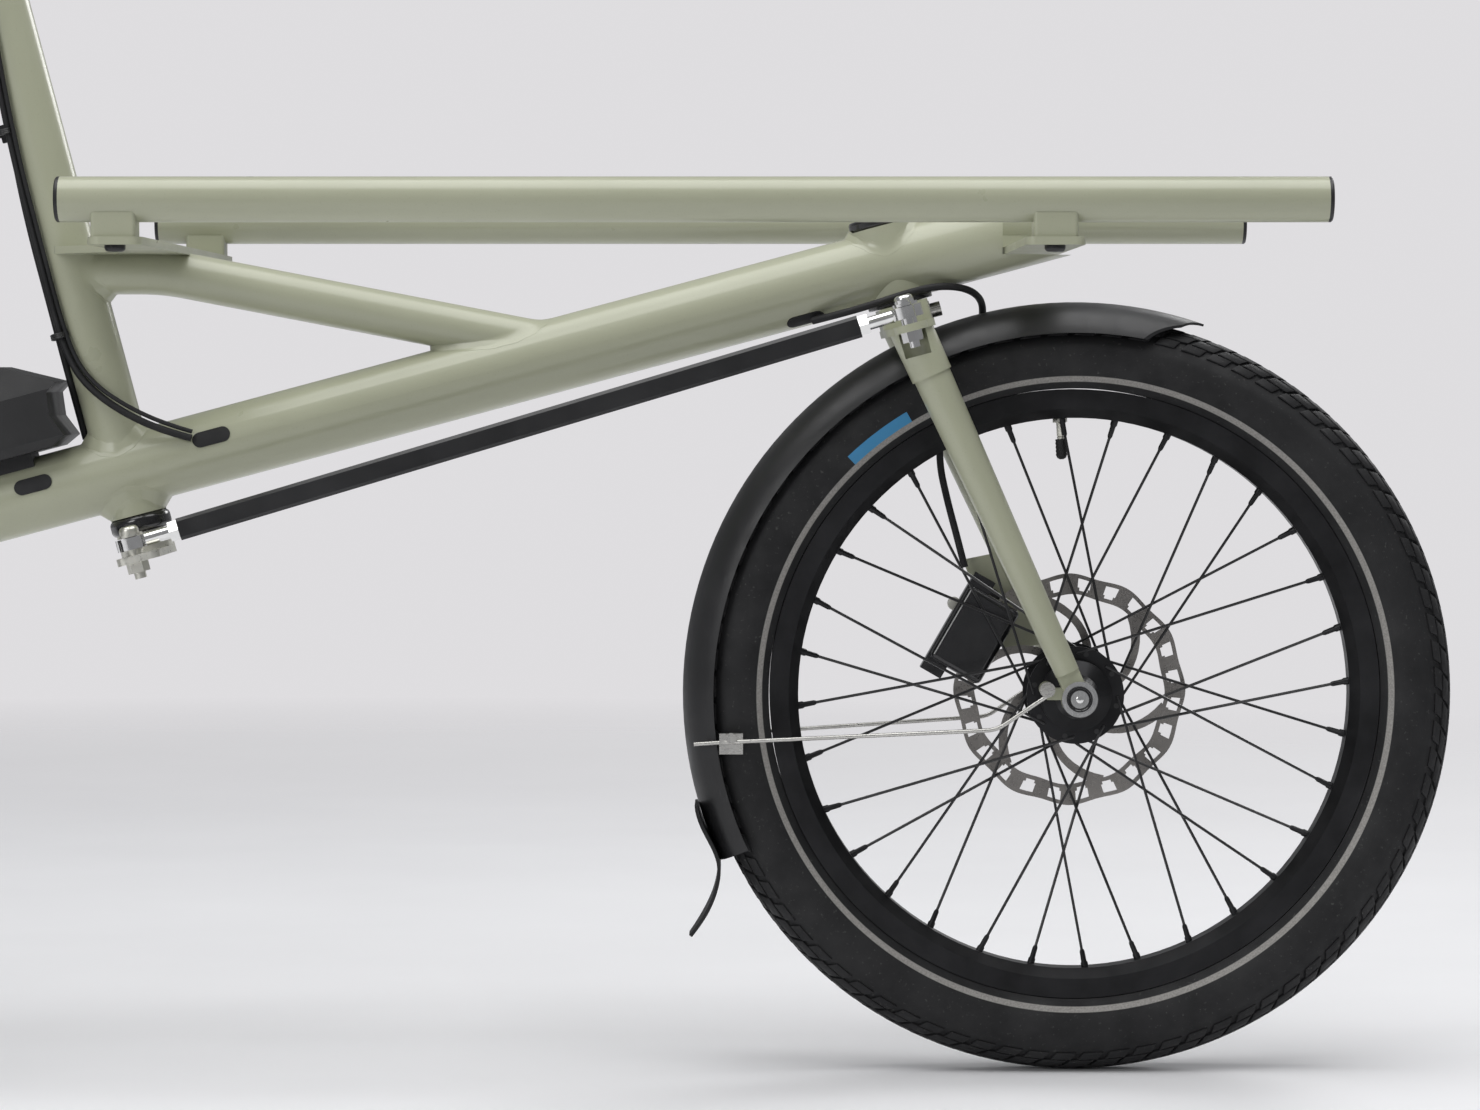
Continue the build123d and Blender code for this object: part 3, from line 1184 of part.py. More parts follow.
def chain():
    """Closed chain, drawn as one band."""
    band = chain_loop(CHAIN_HEIGHT / 2) - chain_loop(-CHAIN_HEIGHT / 2)
    plane = Plane(origin=(0, -CHAIN_LINE, 0), x_dir=(1, 0, 0), z_dir=(0, -1, 0))
    return extrude(plane * band, CHAIN_WIDTH / 2, both=True)


def rear_sprocket():
    """Rear cog and its freewheel body, turning on the axle."""
    cog_r = COG_R - CHAIN_HEIGHT / 2 - 0.5
    body = across(REAR_AXLE.X, -CHAIN_LINE - 2, -CHAIN_LINE + 2, REAR_AXLE.Z, cog_r)
    body += across(REAR_AXLE.X, -CHAIN_LINE - 5, -38 - AIR, REAR_AXLE.Z, 20)
    return body - across(REAR_AXLE.X, -90, 90, REAR_AXLE.Z, REAR_AXLE_R + RUNNING)


def pedal(side):
    """Platform pedal on its pin."""
    x = BB.X - side * CRANK
    y = side * (PEDAL_INNER + PEDAL_L / 2)
    body = Pos(x, y, BB.Z) * Box(PEDAL_W, PEDAL_L, PEDAL_T - 6)
    body = fillet(body.edges().filter_by(Axis.Z), 14)
    body += Pos(x, y, BB.Z) * Box(26, PEDAL_L - 8, PEDAL_T)
    for ahead in (-1, 1):
        body -= Pos(x + ahead * 29, y, BB.Z) * Box(18, PEDAL_L - 30, PEDAL_T + 2)
    return body - across(x, y - PEDAL_L, y + PEDAL_L, BB.Z, PEDAL_PIN + RUNNING)


# ---------------------------------------------------------------- stand, seat and rear mudguard
def stand():
    """Double-leg stand: pivot tube, two legs that flare to the feet."""
    px, pz = STAND_PIVOT.X, STAND_PIVOT.Z
    body = across(px, -STAND_NARROW, STAND_NARROW, pz, STAND_R)
    for side in (-1, 1):
        points = [
            (px, side * STAND_NARROW, pz), (px + 10, side * STAND_NARROW, pz - 125),
            (px + STAND_FORWARD, side * STAND_WIDE, STAND_R + 1),
        ]
        leg = bent(points, STAND_R, [60])
        body += leg + Pos(px, side * STAND_NARROW, pz) * Sphere(STAND_R)
        foot = rod(
            (px + STAND_FORWARD - 26, side * STAND_WIDE, STAND_R + 2),
            (px + STAND_FORWARD + 26, side * STAND_WIDE, STAND_R + 2), STAND_R + 2,
        )
        body += fillet(foot.edges().filter_by(GeomType.CIRCLE), 2)
    return body


def seatpost():
    """Seat post with its head and the saddle's rails."""
    post = rod(seat_point(POST_BOTTOM), seat_point(POST_TOP), POST_OD / 2)
    top = seat_point(POST_TOP)
    post += Pos(top.X, 0, top.Z + 2) * Box(44, 40, 26)
    for side in (-1, 1):
        post += rod((top.X - 74, side * 22, top.Z + 12), (top.X + 82, side * 22, top.Z + 12), 3.5)
        post += rod((top.X - 74, side * 22, top.Z + 12), (top.X - 90, side * 26, top.Z + 25), 3.5)
        post += rod((top.X + 82, side * 22, top.Z + 12), (top.X + 100, side * 14, top.Z + 25), 3.5)
    return post


def saddle():
    """Padded saddle: broad at the back and narrow at the nose."""
    top = seat_point(POST_TOP)
    back = top.X - 0.46 * SADDLE_L
    half = SADDLE_W / 2
    spans = (
        (0, 0.55), (0.09, 0.93), (0.2, 1.0), (0.34, 0.82),
        (0.5, 0.47), (0.75, 0.3), (0.94, 0.26), (1, 0.12),
    )
    right = [(back + t * SADDLE_L, -w * half) for t, w in spans]
    left = [(x, -y) for x, y in reversed(right)]
    outline = Spline(*right) + Line(right[-1], left[0]) + Spline(*left) + Line(left[-1], right[0])
    pad = extrude(Pos(0, 0, top.Z + 22) * make_face(outline), SADDLE_T)
    upper = pad.edges().group_by(Axis.Z)[-1]
    pad = chamfer(upper, 9)
    for side in (-1, 1):
        pad -= rod((top.X - 74, side * 22, top.Z + 12), (top.X - 90, side * 26, top.Z + 25), 4.2)
        pad -= rod((top.X + 82, side * 22, top.Z + 12), (top.X + 100, side * 14, top.Z + 25), 4.2)
    return pad


def rear_fender():
    """Rear mudguard with a pair of stays to the dropouts."""
    shell = spin(fender_profile(REAR_R), REAR_AXLE, REAR_FENDER_START, REAR_FENDER_END - REAR_FENDER_START)
    stays = []
    for side in (-1, 1):
        y = side * (REAR_SPACING / 2 + 7.6)
        low = Vector(REAR_AXLE.X - 16, y, REAR_AXLE.Z + 12)
        high = polar(REAR_AXLE, REAR_R - 8, 148, side * (FENDER_W / 2 + 1.6))
        wire = bent([tuple(low), (low.X - 14, y, low.Z + 14), tuple(high)], WIRE_R + 0.3, [20])
        stays.append(wire - shell)
    return [shell] + stays


# ---------------------------------------------------------------- run
os.makedirs("parts", exist_ok=True)
save("main_tube", main_tube_with_ports())
save("column_tube", column_tube())
save("brace_tube", brace_tube())
save("top_tube", top_tube())
save("seat_tube", seat_tube())
save("motor", motor())
save("chainstays", chainstays())
save("seatstays", seatstays())
save("outrigger_rear", outrigger_rear())
save("outrigger_front", outrigger_front())
save("rail_right", rail(-1))
save("rail_left", rail(1))
save("rail_end_caps", rail_end_caps())
save("rack_bolts", rack_bolts())
save("fork_head_tube", fork_head_tube())
save("bearing_caps", bearing_caps())
save("battery", battery())
save("cable_fittings", cable_fittings())
save("front_tyre", tyre(FRONT_R, FRONT_AXLE))
save("front_rim", rim(FRONT_R, FRONT_AXLE))
save("front_spokes", spokes(FRONT_R, FRONT_AXLE, FRONT_FLANGE_R, FRONT_FLANGE_Y, 62))
save("front_hub", front_hub())
save("front_rotor", rotor(FRONT_AXLE, FRONT_ROTOR_Y, ROTOR_SEAT_R))
save("front_axle", front_axle())
save("rear_tyre", tyre(REAR_R, REAR_AXLE))
save("rear_rim", rim(REAR_R, REAR_AXLE))
save("rear_spokes", spokes(REAR_R, REAR_AXLE, REAR_FLANGE_R, REAR_FLANGE_Y, 50))
save("rear_hub", rear_hub())
save("rear_rotor", rotor(REAR_AXLE, REAR_ROTOR_Y, ROTOR_SEAT_R))
save("rear_axle", rear_axle())
save("fork", fork())
save("fork_stud", ball_stud(FORK))
save("column_shaft", column_shaft())
save("column_arm", [column_arm(), ball_stud(COLUMN)])
save("stem", stem())
save("handlebar", handlebar())
save("grips", grips())
save("brake_clamps", brake_clamps())
save("brake_lever_right", brake_lever(-1))
save("brake_lever_left", brake_lever(1))
save("link_bar", link_bar())
save("link_rod_ends", link_rod_ends())
save("front_fender", front_fender())
save("mud_flap", mud_flap())
save("front_stays", front_stays())
save("front_caliper", front_caliper())
save("rear_caliper", rear_caliper())
save("lower_hose", lower_hose())
save("upper_hoses", upper_hoses())
save("rear_hose", rear_hose())
save("crankset", crankset())
save("chain", chain())
save("rear_sprocket", rear_sprocket())
save("pedal_right", pedal(-1))
save("pedal_left", pedal(1))
save("stand", stand())
save("seatpost", seatpost())
save("saddle", saddle())
save("rear_fender", rear_fender())
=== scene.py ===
import json
from math import acos, atan2, cos, pi, radians, sin, sqrt

import bmesh
import bpy
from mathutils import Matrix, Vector
from mathutils.bvhtree import BVHTree

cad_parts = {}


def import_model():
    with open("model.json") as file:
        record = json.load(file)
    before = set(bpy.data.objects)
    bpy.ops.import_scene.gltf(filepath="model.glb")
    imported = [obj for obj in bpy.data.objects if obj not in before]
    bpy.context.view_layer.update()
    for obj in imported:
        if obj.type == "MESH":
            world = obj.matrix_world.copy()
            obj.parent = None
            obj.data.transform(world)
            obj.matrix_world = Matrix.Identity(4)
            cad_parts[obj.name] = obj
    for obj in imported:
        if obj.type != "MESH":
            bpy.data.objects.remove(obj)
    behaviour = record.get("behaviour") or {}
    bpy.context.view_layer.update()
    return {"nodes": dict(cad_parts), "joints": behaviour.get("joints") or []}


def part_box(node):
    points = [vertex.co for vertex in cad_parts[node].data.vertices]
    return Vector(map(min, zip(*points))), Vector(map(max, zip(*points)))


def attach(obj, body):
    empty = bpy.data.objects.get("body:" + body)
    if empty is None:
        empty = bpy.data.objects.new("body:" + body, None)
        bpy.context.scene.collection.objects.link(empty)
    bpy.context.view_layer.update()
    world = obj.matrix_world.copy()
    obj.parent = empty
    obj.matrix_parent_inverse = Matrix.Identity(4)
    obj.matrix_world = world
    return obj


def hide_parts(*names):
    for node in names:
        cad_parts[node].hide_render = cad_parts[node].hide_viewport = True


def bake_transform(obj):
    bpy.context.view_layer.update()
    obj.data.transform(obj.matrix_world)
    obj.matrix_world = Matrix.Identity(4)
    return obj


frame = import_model()

# ---------------------------------------------------------------- places taken from the frame
MM = 0.001
Y = Vector((0, 1, 0))
JOINTS = {joint["name"]: joint for joint in frame["joints"]}


def pivot(name):
    return Vector(JOINTS[name]["pos_m"])


AXLE = pivot("front_wheel_spin")
REAR = pivot("rear_wheel_spin")
CRANK = pivot("crank_spin")
FORK_EYE = pivot("fork_steer")
COLUMN_EYE = pivot("column_steer")
UP = Vector(JOINTS["fork_steer"]["axis"]).normalized()
FORWARD = Vector((UP.z, 0, -UP.x))
MAIN_RISE = 33.8                     # mm up the fork's axis from its joint to the main tube's axis
MAIN_REF = FORK_EYE + UP * MAIN_RISE * MM
ALONG = (MAIN_REF - CRANK).normalized()
MAIN_R = 25.0
COLUMN_R = 19.0
HEAD_R = 22.5
BRACE_R = 15.5
TYRE_HALF = 27.5
FRONT_R, REAR_R = 257.0, 334.0       # tyres' outer radii
TYRE_SHARE, RIM_DEPTH = 1.82, 19.5   # tread to rim as a share of TYRE_HALF; the rim's own depth
SPOKES = 32
DISC_SEAT, DISC_HALF = 19.5, 0.9     # brake discs' inner radius and half thickness
DISC_STEPS, DISC_WAVES = 720, 12
CHAIN_PITCH, LINKS = 12.7, 102
CHAINRING_TEETH, COG_TEETH = 44, 18
TOP_TUBE_R, SEAT_TUBE_R = 17.5, 15.9


def at(x, y, z):
    """Millimetres ahead of the front axle, left of the centre plane and above the ground."""
    return Vector((AXLE.x + x * MM, y * MM, z * MM))


def col(x, y, z):
    """Millimetres ahead of the steering column's axis, to the left, and up it from the link."""
    return COLUMN_EYE + FORWARD * (x * MM) + Y * (y * MM) + UP * (z * MM)


def around(centre, radius, angle, y):
    """Point in a wheel's plane; radius and y in mm, angle in radians up from straight ahead."""
    return centre + Vector((cos(angle) * radius * MM, y * MM, sin(angle) * radius * MM))


def turns(steps):
    """Equally spaced angles round one whole turn."""
    return [2 * pi * step / steps for step in range(steps)]


def rim_inside(radius):
    """Radius of the rim's inner side, from the tyre's outer radius."""
    return radius - TYRE_HALF * TYRE_SHARE - RIM_DEPTH


# ---------------------------------------------------------------- materials
class Finish:
    """One procedural material: a principled shader and the textures that feed it."""

    def __init__(self, name, roughness=0.5, metallic=0.0, coat=0.0, coat_roughness=0.1,
                 specular=0.5, sheen=0.0):
        self.material = bpy.data.materials.new(name)
        self.material.use_nodes = True
        self.tree = self.material.node_tree
        self.shader = self.tree.nodes["Principled BSDF"]
        for socket, value in (
            ("Roughness", roughness), ("Metallic", metallic), ("Coat Weight", coat),
            ("Coat Roughness", coat_roughness), ("Specular IOR Level", specular), ("Sheen Weight", sheen),
        ):
            self.shader.inputs[socket].default_value = value
        self.place = self.tree.nodes.new("ShaderNodeTexCoord").outputs["Object"]
        self.normal = None

    def link(self, output, target):
        self.tree.links.new(output, target)

    def stretched(self, stretch):
        if stretch == (1, 1, 1):
            return self.place
        mapping = self.tree.nodes.new("ShaderNodeMapping")
        mapping.inputs["Scale"].default_value = stretch
        self.link(self.place, mapping.inputs["Vector"])
        return mapping.outputs["Vector"]

    def noise(self, scale, detail=4.0, stretch=(1, 1, 1)):
        node = self.tree.nodes.new("ShaderNodeTexNoise")
        node.inputs["Scale"].default_value = scale
        node.inputs["Detail"].default_value = detail
        self.link(self.stretched(stretch), node.inputs["Vector"])
        return node.outputs["Fac"]

    def cells(self, scale, feature="F1", stretch=(1, 1, 1)):
        node = self.tree.nodes.new("ShaderNodeTexVoronoi")
        node.feature = feature
        node.inputs["Scale"].default_value = scale
        self.link(self.stretched(stretch), node.inputs["Vector"])
        return node.outputs["Distance"]

    def ramp(self, value, stops):
        node = self.tree.nodes.new("ShaderNodeValToRGB")
        steps = node.color_ramp.elements
        while len(steps) < len(stops):
            steps.new(0.5)
        for step, (position, colour) in zip(steps, stops):
            step.position = position
            step.color = (*colour, 1)
        self.link(value, node.inputs["Fac"])
        return node.outputs["Color"]

    def math(self, operation, first, second=0.0, third=0.0):
        node = self.tree.nodes.new("ShaderNodeMath")
        node.operation = operation
        for index, value in enumerate((first, second, third)):
            if isinstance(value, (int, float)):
                node.inputs[index].default_value = value
            else:
                self.link(value, node.inputs[index])
        return node.outputs["Value"]

    def span(self, value, low, high, to_low, to_high):
        node = self.tree.nodes.new("ShaderNodeMapRange")
        for socket, number in zip(("From Min", "From Max", "To Min", "To Max"), (low, high, to_low, to_high)):
            node.inputs[socket].default_value = number
        self.link(value, node.inputs["Value"])
        return node.outputs["Result"]

    def mix(self, factor, first, second):
        node = self.tree.nodes.new("ShaderNodeMix")
        node.data_type = "RGBA"
        self.link(factor, node.inputs["Factor"])
        for socket, value in ((6, first), (7, second)):
            if isinstance(value, tuple):
                node.inputs[socket].default_value = (*value, 1)
            else:
                self.link(value, node.inputs[socket])
        return node.outputs[2]

    def colour(self, output):
        self.link(output, self.shader.inputs["Base Color"])

    def roughness(self, value, low, high):
        self.link(self.span(value, 0.3, 0.7, low, high), self.shader.inputs["Roughness"])

    def bump(self, height, strength, distance):
        """Bumps add up in the order that they are asked for; distance is in mm."""
        node = self.tree.nodes.new("ShaderNodeBump")
        node.inputs["Strength"].default_value = strength
        node.inputs["Distance"].default_value = distance * MM
        self.link(height, node.inputs["Height"])
        if self.normal:
            self.link(self.normal, node.inputs["Normal"])
        self.normal = node.outputs["Normal"]
        self.link(self.normal, self.shader.inputs["Normal"])

    def axis_value(self, index):
        node = self.tree.nodes.new("ShaderNodeSeparateXYZ")
        self.link(self.place, node.inputs["Vector"])
        return node.outputs[index]

    def diagonal(self, first, second):
        squares = [self.math("MULTIPLY", value, value) for value in (first, second)]
        return self.math("SQRT", self.math("ADD", *squares))

    def from_hub(self, centre):
        """Metres ahead of a wheel's axis, and above it."""
        across = self.math("SUBTRACT", self.axis_value(0), centre.x)
        return across, self.math("SUBTRACT", self.axis_value(2), centre.z)

    def wheel_radius(self, centre):
        """Distance from a wheel's axis, in metres, in the wheel's own plane."""
        return self.diagonal(*self.from_hub(centre))

    def wheel_angle(self, centre):
        across, height = self.from_hub(centre)
        return self.math("ARCTAN2", height, across)


def shade(tone, share):
    return tuple(share * c for c in tone)


def paint():
    """Grey-green frame paint: faint flow, fine orange peel and a little dust."""
    f = Finish("sage_paint", metallic=0.0, coat=0.45, coat_roughness=0.14, specular=0.5)
    flow = f.noise(5.0, 5.0)
    base = f.ramp(flow, [
        (0.25, (0.373, 0.385, 0.276)), (0.5, (0.389, 0.401, 0.290)), (0.75, (0.403, 0.415, 0.302)),
    ])
    specks = f.noise(900.0, 2.0)
    f.colour(f.mix(f.span(specks, 0.62, 0.75, 0.0, 0.35), base, (0.295, 0.300, 0.224)))
    f.roughness(f.noise(24.0, 5.0), 0.27, 0.4)
    f.bump(f.noise(420.0, 2.0), 0.05, 0.4)
    f.bump(f.noise(60.0, 3.0), 0.04, 1.0)
    return f.material


def black_paint(name, tone, low, high, grain, depth, coat=0.0):
    """Black surface with a fine grain, scuffs and roughness that changes over it."""
    f = Finish(name, coat=coat, coat_roughness=0.2)
    cloud = f.noise(18.0, 6.0)
    base = f.ramp(cloud, [(0.3, shade(tone, 0.72)), (0.7, shade(tone, 1.35))])
    scuffs = f.noise(240.0, 6.0, (1.0, 0.35, 0.25))
    f.colour(f.mix(f.span(scuffs, 0.66, 0.8, 0.0, 0.5), base, shade(tone, 3.2)))
    f.roughness(f.noise(55.0, 6.0), low, high)
    f.bump(f.noise(grain, 3.0), depth, 0.25)
    return f.material


def black_alloy():
    f = Finish("black_alloy", metallic=0.75)
    cloud = f.noise(30.0, 5.0)
    f.colour(f.ramp(cloud, [(0.3, (0.014, 0.014, 0.015)), (0.7, (0.03, 0.03, 0.032))]))
    f.roughness(f.noise(70.0, 6.0), 0.3, 0.46)
    f.bump(f.noise(1100.0, 2.0), 0.12, 0.12)
    return f.material


def bright_metal(name, tone, low, high, stretch):
    """Bright steel with fine drawn lines and a few dull patches."""
    f = Finish(name, metallic=1.0)
    cloud = f.noise(45.0, 6.0)
    f.colour(f.ramp(cloud, [(0.3, shade(tone, 0.8)), (0.68, tone)]))
    lines = f.noise(700.0, 3.0, stretch)
    f.roughness(lines, low, high)
    f.bump(lines, 0.08, 0.1)
    f.bump(f.noise(160.0, 5.0), 0.05, 0.2)
    return f.material


def rubber(name, tone, grain):
    f = Finish(name, specular=0.35)
    cloud = f.noise(14.0, 6.0)
    f.colour(f.ramp(cloud, [(0.3, shade(tone, 0.75)), (0.72, shade(tone, 1.3))]))
    f.roughness(f.noise(90.0, 6.0), 0.5, 0.72)
    f.bump(f.noise(grain, 4.0), 0.2, 0.2)
    return f.material


def tyre_rubber(name, centre, band, patch):
    """Tyre: dusty black rubber, a pale reflective band and a plain coloured patch on the sidewall."""
    f = Finish(name, specular=0.35)
    cloud = f.noise(26.0, 7.0)
    black = f.ramp(cloud, [(0.3, (0.008, 0.008, 0.009)), (0.7, (0.018, 0.018, 0.019))])
    dust = f.span(f.noise(420.0, 3.0), 0.64, 0.8, 0.0, 0.5)
    base = f.mix(dust, black, (0.10, 0.10, 0.095))
    radius = f.wheel_radius(centre)
    side = f.math("ABSOLUTE", f.axis_value(1))
    wall = f.math("GREATER_THAN", side, 0.0145)
    off = f.math("ABSOLUTE", f.math("SUBTRACT", radius, band * MM))
    stripe = f.math("MULTIPLY", f.span(off, 0.0017, 0.0021, 1.0, 0.0), wall)
    bead = f.span(f.noise(800.0, 2.0), 0.3, 0.7, 0.0, 1.0)
    pale = f.mix(bead, (0.23, 0.22, 0.21), (0.33, 0.32, 0.30))
    base = f.mix(stripe, base, pale)
    if patch:
        patch_angle, patch_half, patch_r = patch
        along = f.math("ABSOLUTE", f.math("SUBTRACT", f.wheel_angle(centre), patch_angle))
        within = f.math("LESS_THAN", along, patch_half)
        height = f.math("ABSOLUTE", f.math("SUBTRACT", radius, patch_r * MM))
        inside = f.math("MULTIPLY", within, f.math("LESS_THAN", height, 0.0038))
        right = f.math("LESS_THAN", f.axis_value(1), 0.0)
        spot = f.math("MULTIPLY", inside, right)
        base = f.mix(spot, base, (0.055, 0.25, 0.47))
    f.colour(base)
    f.roughness(f.noise(60.0, 6.0), 0.55, 0.8)
    rings = f.math("SINE", f.math("MULTIPLY", radius, 2 * pi / 0.0012))
    f.bump(f.math("MULTIPLY", rings, wall), 0.06, 0.12)
    f.bump(f.noise(380.0, 5.0), 0.25, 0.25)
    return f.material


def cover():
    """Black saddle cover: leather grain from cells, with creases."""
    f = Finish("saddle_cover", specular=0.4, sheen=0.15)
    cloud = f.noise(22.0, 6.0)
    f.colour(f.ramp(cloud, [(0.3, (0.016, 0.015, 0.014)), (0.7, (0.034, 0.032, 0.03))]))
    f.roughness(f.noise(40.0, 5.0), 0.42, 0.6)
    f.bump(f.cells(650.0), 0.35, 0.25)
    f.bump(f.noise(70.0, 5.0), 0.12, 0.5)
    return f.material


def woven():
    """Black nylon with a fine grain."""
    f = Finish("nylon_ties", specular=0.5)
    f.colour(f.ramp(f.noise(50.0, 5.0), [(0.3, (0.014, 0.014, 0.015)), (0.7, (0.03, 0.03, 0.03))]))
    f.roughness(f.noise(90.0, 4.0), 0.35, 0.5)
    f.bump(f.cells(900.0), 0.2, 0.15)
    return f.material


def floor_finish():
    """Pale studio floor that fades out far from the object."""
    f = Finish("studio_floor", roughness=0.6, specular=0.2)
    f.colour(f.ramp(f.noise(3.0, 4.0), [(0.3, (0.80, 0.80, 0.815)), (0.7, (0.83, 0.83, 0.845))]))
    away = f.diagonal(f.axis_value(0), f.axis_value(1))
    fade = f.span(away, 1.5, 3.6, 1.0, 0.0)
    f.link(fade, f.shader.inputs["Alpha"])
    return f.material


SAGE = paint()
PLASTIC = black_paint("satin_black_plastic", (0.011, 0.011, 0.012), 0.34, 0.5, 620.0, 0.18)
HOUSING = black_paint("moulded_housing", (0.012, 0.012, 0.013), 0.42, 0.58, 900.0, 0.3)
GLOSS = black_paint("gloss_black", (0.005, 0.005, 0.006), 0.12, 0.24, 500.0, 0.05, 0.6)
ALLOY = black_alloy()
RUBBER = rubber("matt_rubber", (0.014, 0.014, 0.015), 500.0)
HOSE = rubber("hose_rubber", (0.014, 0.014, 0.015), 900.0)
STEEL = bright_metal("drawn_steel", (0.62, 0.61, 0.58), 0.2, 0.38, (0.2, 1.0, 1.0))
ZINC = bright_metal("pale_zinc", (0.74, 0.73, 0.66), 0.26, 0.46, (1.0, 0.3, 1.0))
CHROME = bright_metal("polished_chrome", (0.86, 0.86, 0.85), 0.05, 0.14, (1.0, 1.0, 0.3))
ROTOR = bright_metal("rotor_steel", (0.30, 0.285, 0.27), 0.24, 0.42, (1.0, 0.2, 1.0))
CHAIN = bright_metal("chain_steel", (0.40, 0.38, 0.35), 0.25, 0.45, (0.5, 1.0, 1.0))
BLACK_STEEL = black_paint("black_steel", (0.013, 0.013, 0.014), 0.28, 0.42, 800.0, 0.08)
NYLON = woven()
COVER = cover()
FRONT_TYRE = tyre_rubber("front_tyre_rubber", AXLE, 214.0, (radians(127.3), radians(6.4), 219.6))
REAR_TYRE = tyre_rubber("rear_tyre_rubber", REAR, 291.0, None)

CAD_FINISH = {
    "main_tube": SAGE, "column_tube": SAGE, "brace_tube": SAGE, "top_tube": SAGE, "seat_tube": SAGE,
    "chainstays": SAGE, "seatstays": SAGE, "outrigger_rear": SAGE, "outrigger_front": SAGE,
    "rail_right": SAGE, "rail_left": SAGE, "fork_head_tube": SAGE, "fork": SAGE,
    "motor": HOUSING, "battery": HOUSING, "rail_end_caps": PLASTIC, "bearing_caps": GLOSS,
    "cable_fittings": RUBBER, "rear_fender": PLASTIC, "front_fender": PLASTIC, "mud_flap": RUBBER,
    "rear_caliper": GLOSS, "front_caliper": GLOSS, "rack_bolts": BLACK_STEEL, "fork_stud": CHROME,
    "front_stays": STEEL, "front_axle": CHROME, "rear_axle": STEEL, "front_rim": ALLOY, "rear_rim": ALLOY,
    "front_hub": ALLOY, "rear_hub": ALLOY, "front_rotor": ROTOR, "rear_rotor": ROTOR,
    "column_shaft": STEEL, "column_arm": ZINC, "stem": ALLOY, "handlebar": ALLOY, "grips": RUBBER,
    "brake_clamps": ALLOY, "brake_lever_right": ALLOY, "brake_lever_left": ALLOY, "link_bar": BLACK_STEEL,
    "link_rod_ends": CHROME, "crankset": ALLOY, "pedal_right": PLASTIC, "pedal_left": PLASTIC,
    "rear_sprocket": CHAIN, "stand": ALLOY, "seatpost": ALLOY,
}


# ---------------------------------------------------------------- mesh helpers
class Shape:
    """Vertices and faces gathered for one piece."""

    def __init__(self):
        self.points = []
        self.faces = []

    def add(self, points, faces):
        start = len(self.points)
        self.points += points
        self.faces += [[start + i for i in face] for face in faces]
        return self

    def grid(self, rows, columns, points, around_rows=False, around_columns=False, cap=False):
        """Quads between rows of points; either direction may close on itself."""
        faces = []
        for r in range(rows if around_rows else rows - 1):
            for c in range(columns if around_columns else columns - 1):
                a = r * columns + c
                b = r * columns + (c + 1) % columns
                d = (r + 1) % rows * columns + c
                e = (r + 1) % rows * columns + (c + 1) % columns
                faces.append([a, b, e, d])
        if cap:
            faces.append(list(range(columns))[::-1])
            faces.append([(rows - 1) * columns + c for c in range(columns)])
        return self.add(points, faces)


def piece(name, shape, material, body, sharp=38.0):
    """Makes an object from a Shape, with clean normals, and lets it ride on a body."""
    mesh = bpy.data.meshes.new(name)
    mesh.from_pydata([tuple(p) for p in shape.points], [], shape.faces)
    work = bmesh.new()
    work.from_mesh(mesh)
    bmesh.ops.recalc_face_normals(work, faces=work.faces)
    work.to_mesh(mesh)
    work.free()
    mesh.materials.append(material)
    mesh.shade_smooth()
    mesh.set_sharp_from_angle(angle=radians(sharp))
    obj = bpy.data.objects.new(name, mesh)
    bpy.context.scene.collection.objects.link(obj)
    if body:
        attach(obj, body)
    return obj


def tube(shape, points, radius, sides=12, closed=False):
    """Round tube along points; radius in mm is one number or one per point."""
    points = [Vector(p) for p in points]
    count = len(points)
    radii = radius if isinstance(radius, list) else [radius] * count
    heading = points[1] - points[0]
    side = heading.orthogonal().normalized()
    ring = []
    for index, point in enumerate(points):
        before = points[(index - 1) % count] if closed or index else point
        after = points[(index + 1) % count] if closed or index < count - 1 else point
        heading = (after - before).normalized()
        side = (side - heading * side.dot(heading)).normalized()
        other = heading.cross(side)
        for angle in turns(sides):
            ring.append(point + (side * cos(angle) + other * sin(angle)) * (radii[index] * MM))
    return shape.grid(count, sides, ring, around_rows=closed, around_columns=True, cap=not closed)


def lathe(shape, profile, origin, axis, steps=32, closed=False):
    """Turns (radius, height) pairs in mm about an axis; a third value True makes that ring a hexagon."""
    axis = axis.normalized()
    side = axis.orthogonal().normalized()
    other = axis.cross(side)
    points = []
    for entry in profile:
        for angle in turns(steps):
            radius = entry[0]
            if len(entry) > 2:
                radius /= cos((angle + pi / 6) % (pi / 3) - pi / 6)
            offset = (side * cos(angle) + other * sin(angle)) * (radius * MM)
            points.append(origin + axis * (entry[1] * MM) + offset)
    return shape.grid(len(profile), steps, points, around_rows=closed, around_columns=True, cap=not closed)


def bolt(shape, base, axis, radius, height):
    """Socket-head bolt with a rounded rim and a hexagonal recess."""
    profile = [
        (radius * 0.98, -0.2), (radius, height * 0.15), (radius, height * 0.72),
        (radius * 0.9, height * 0.92), (radius * 0.78, height), (radius * 0.56, height),
        (radius * 0.46, height * 0.93, True), (radius * 0.46, height * 0.4, True),
    ]
    return lathe(shape, profile, base, axis, 24)


def hex_nut(shape, base, axis, flats, height):
    half = flats / 2
    profile = [
        (half * 0.96, 0.0), (half, height * 0.1, True), (half, height * 0.9, True), (half * 0.96, height),
        (half * 0.6, height), (half * 0.55, height * 0.8),
    ]
    return lathe(shape, profile, base, axis, 36)


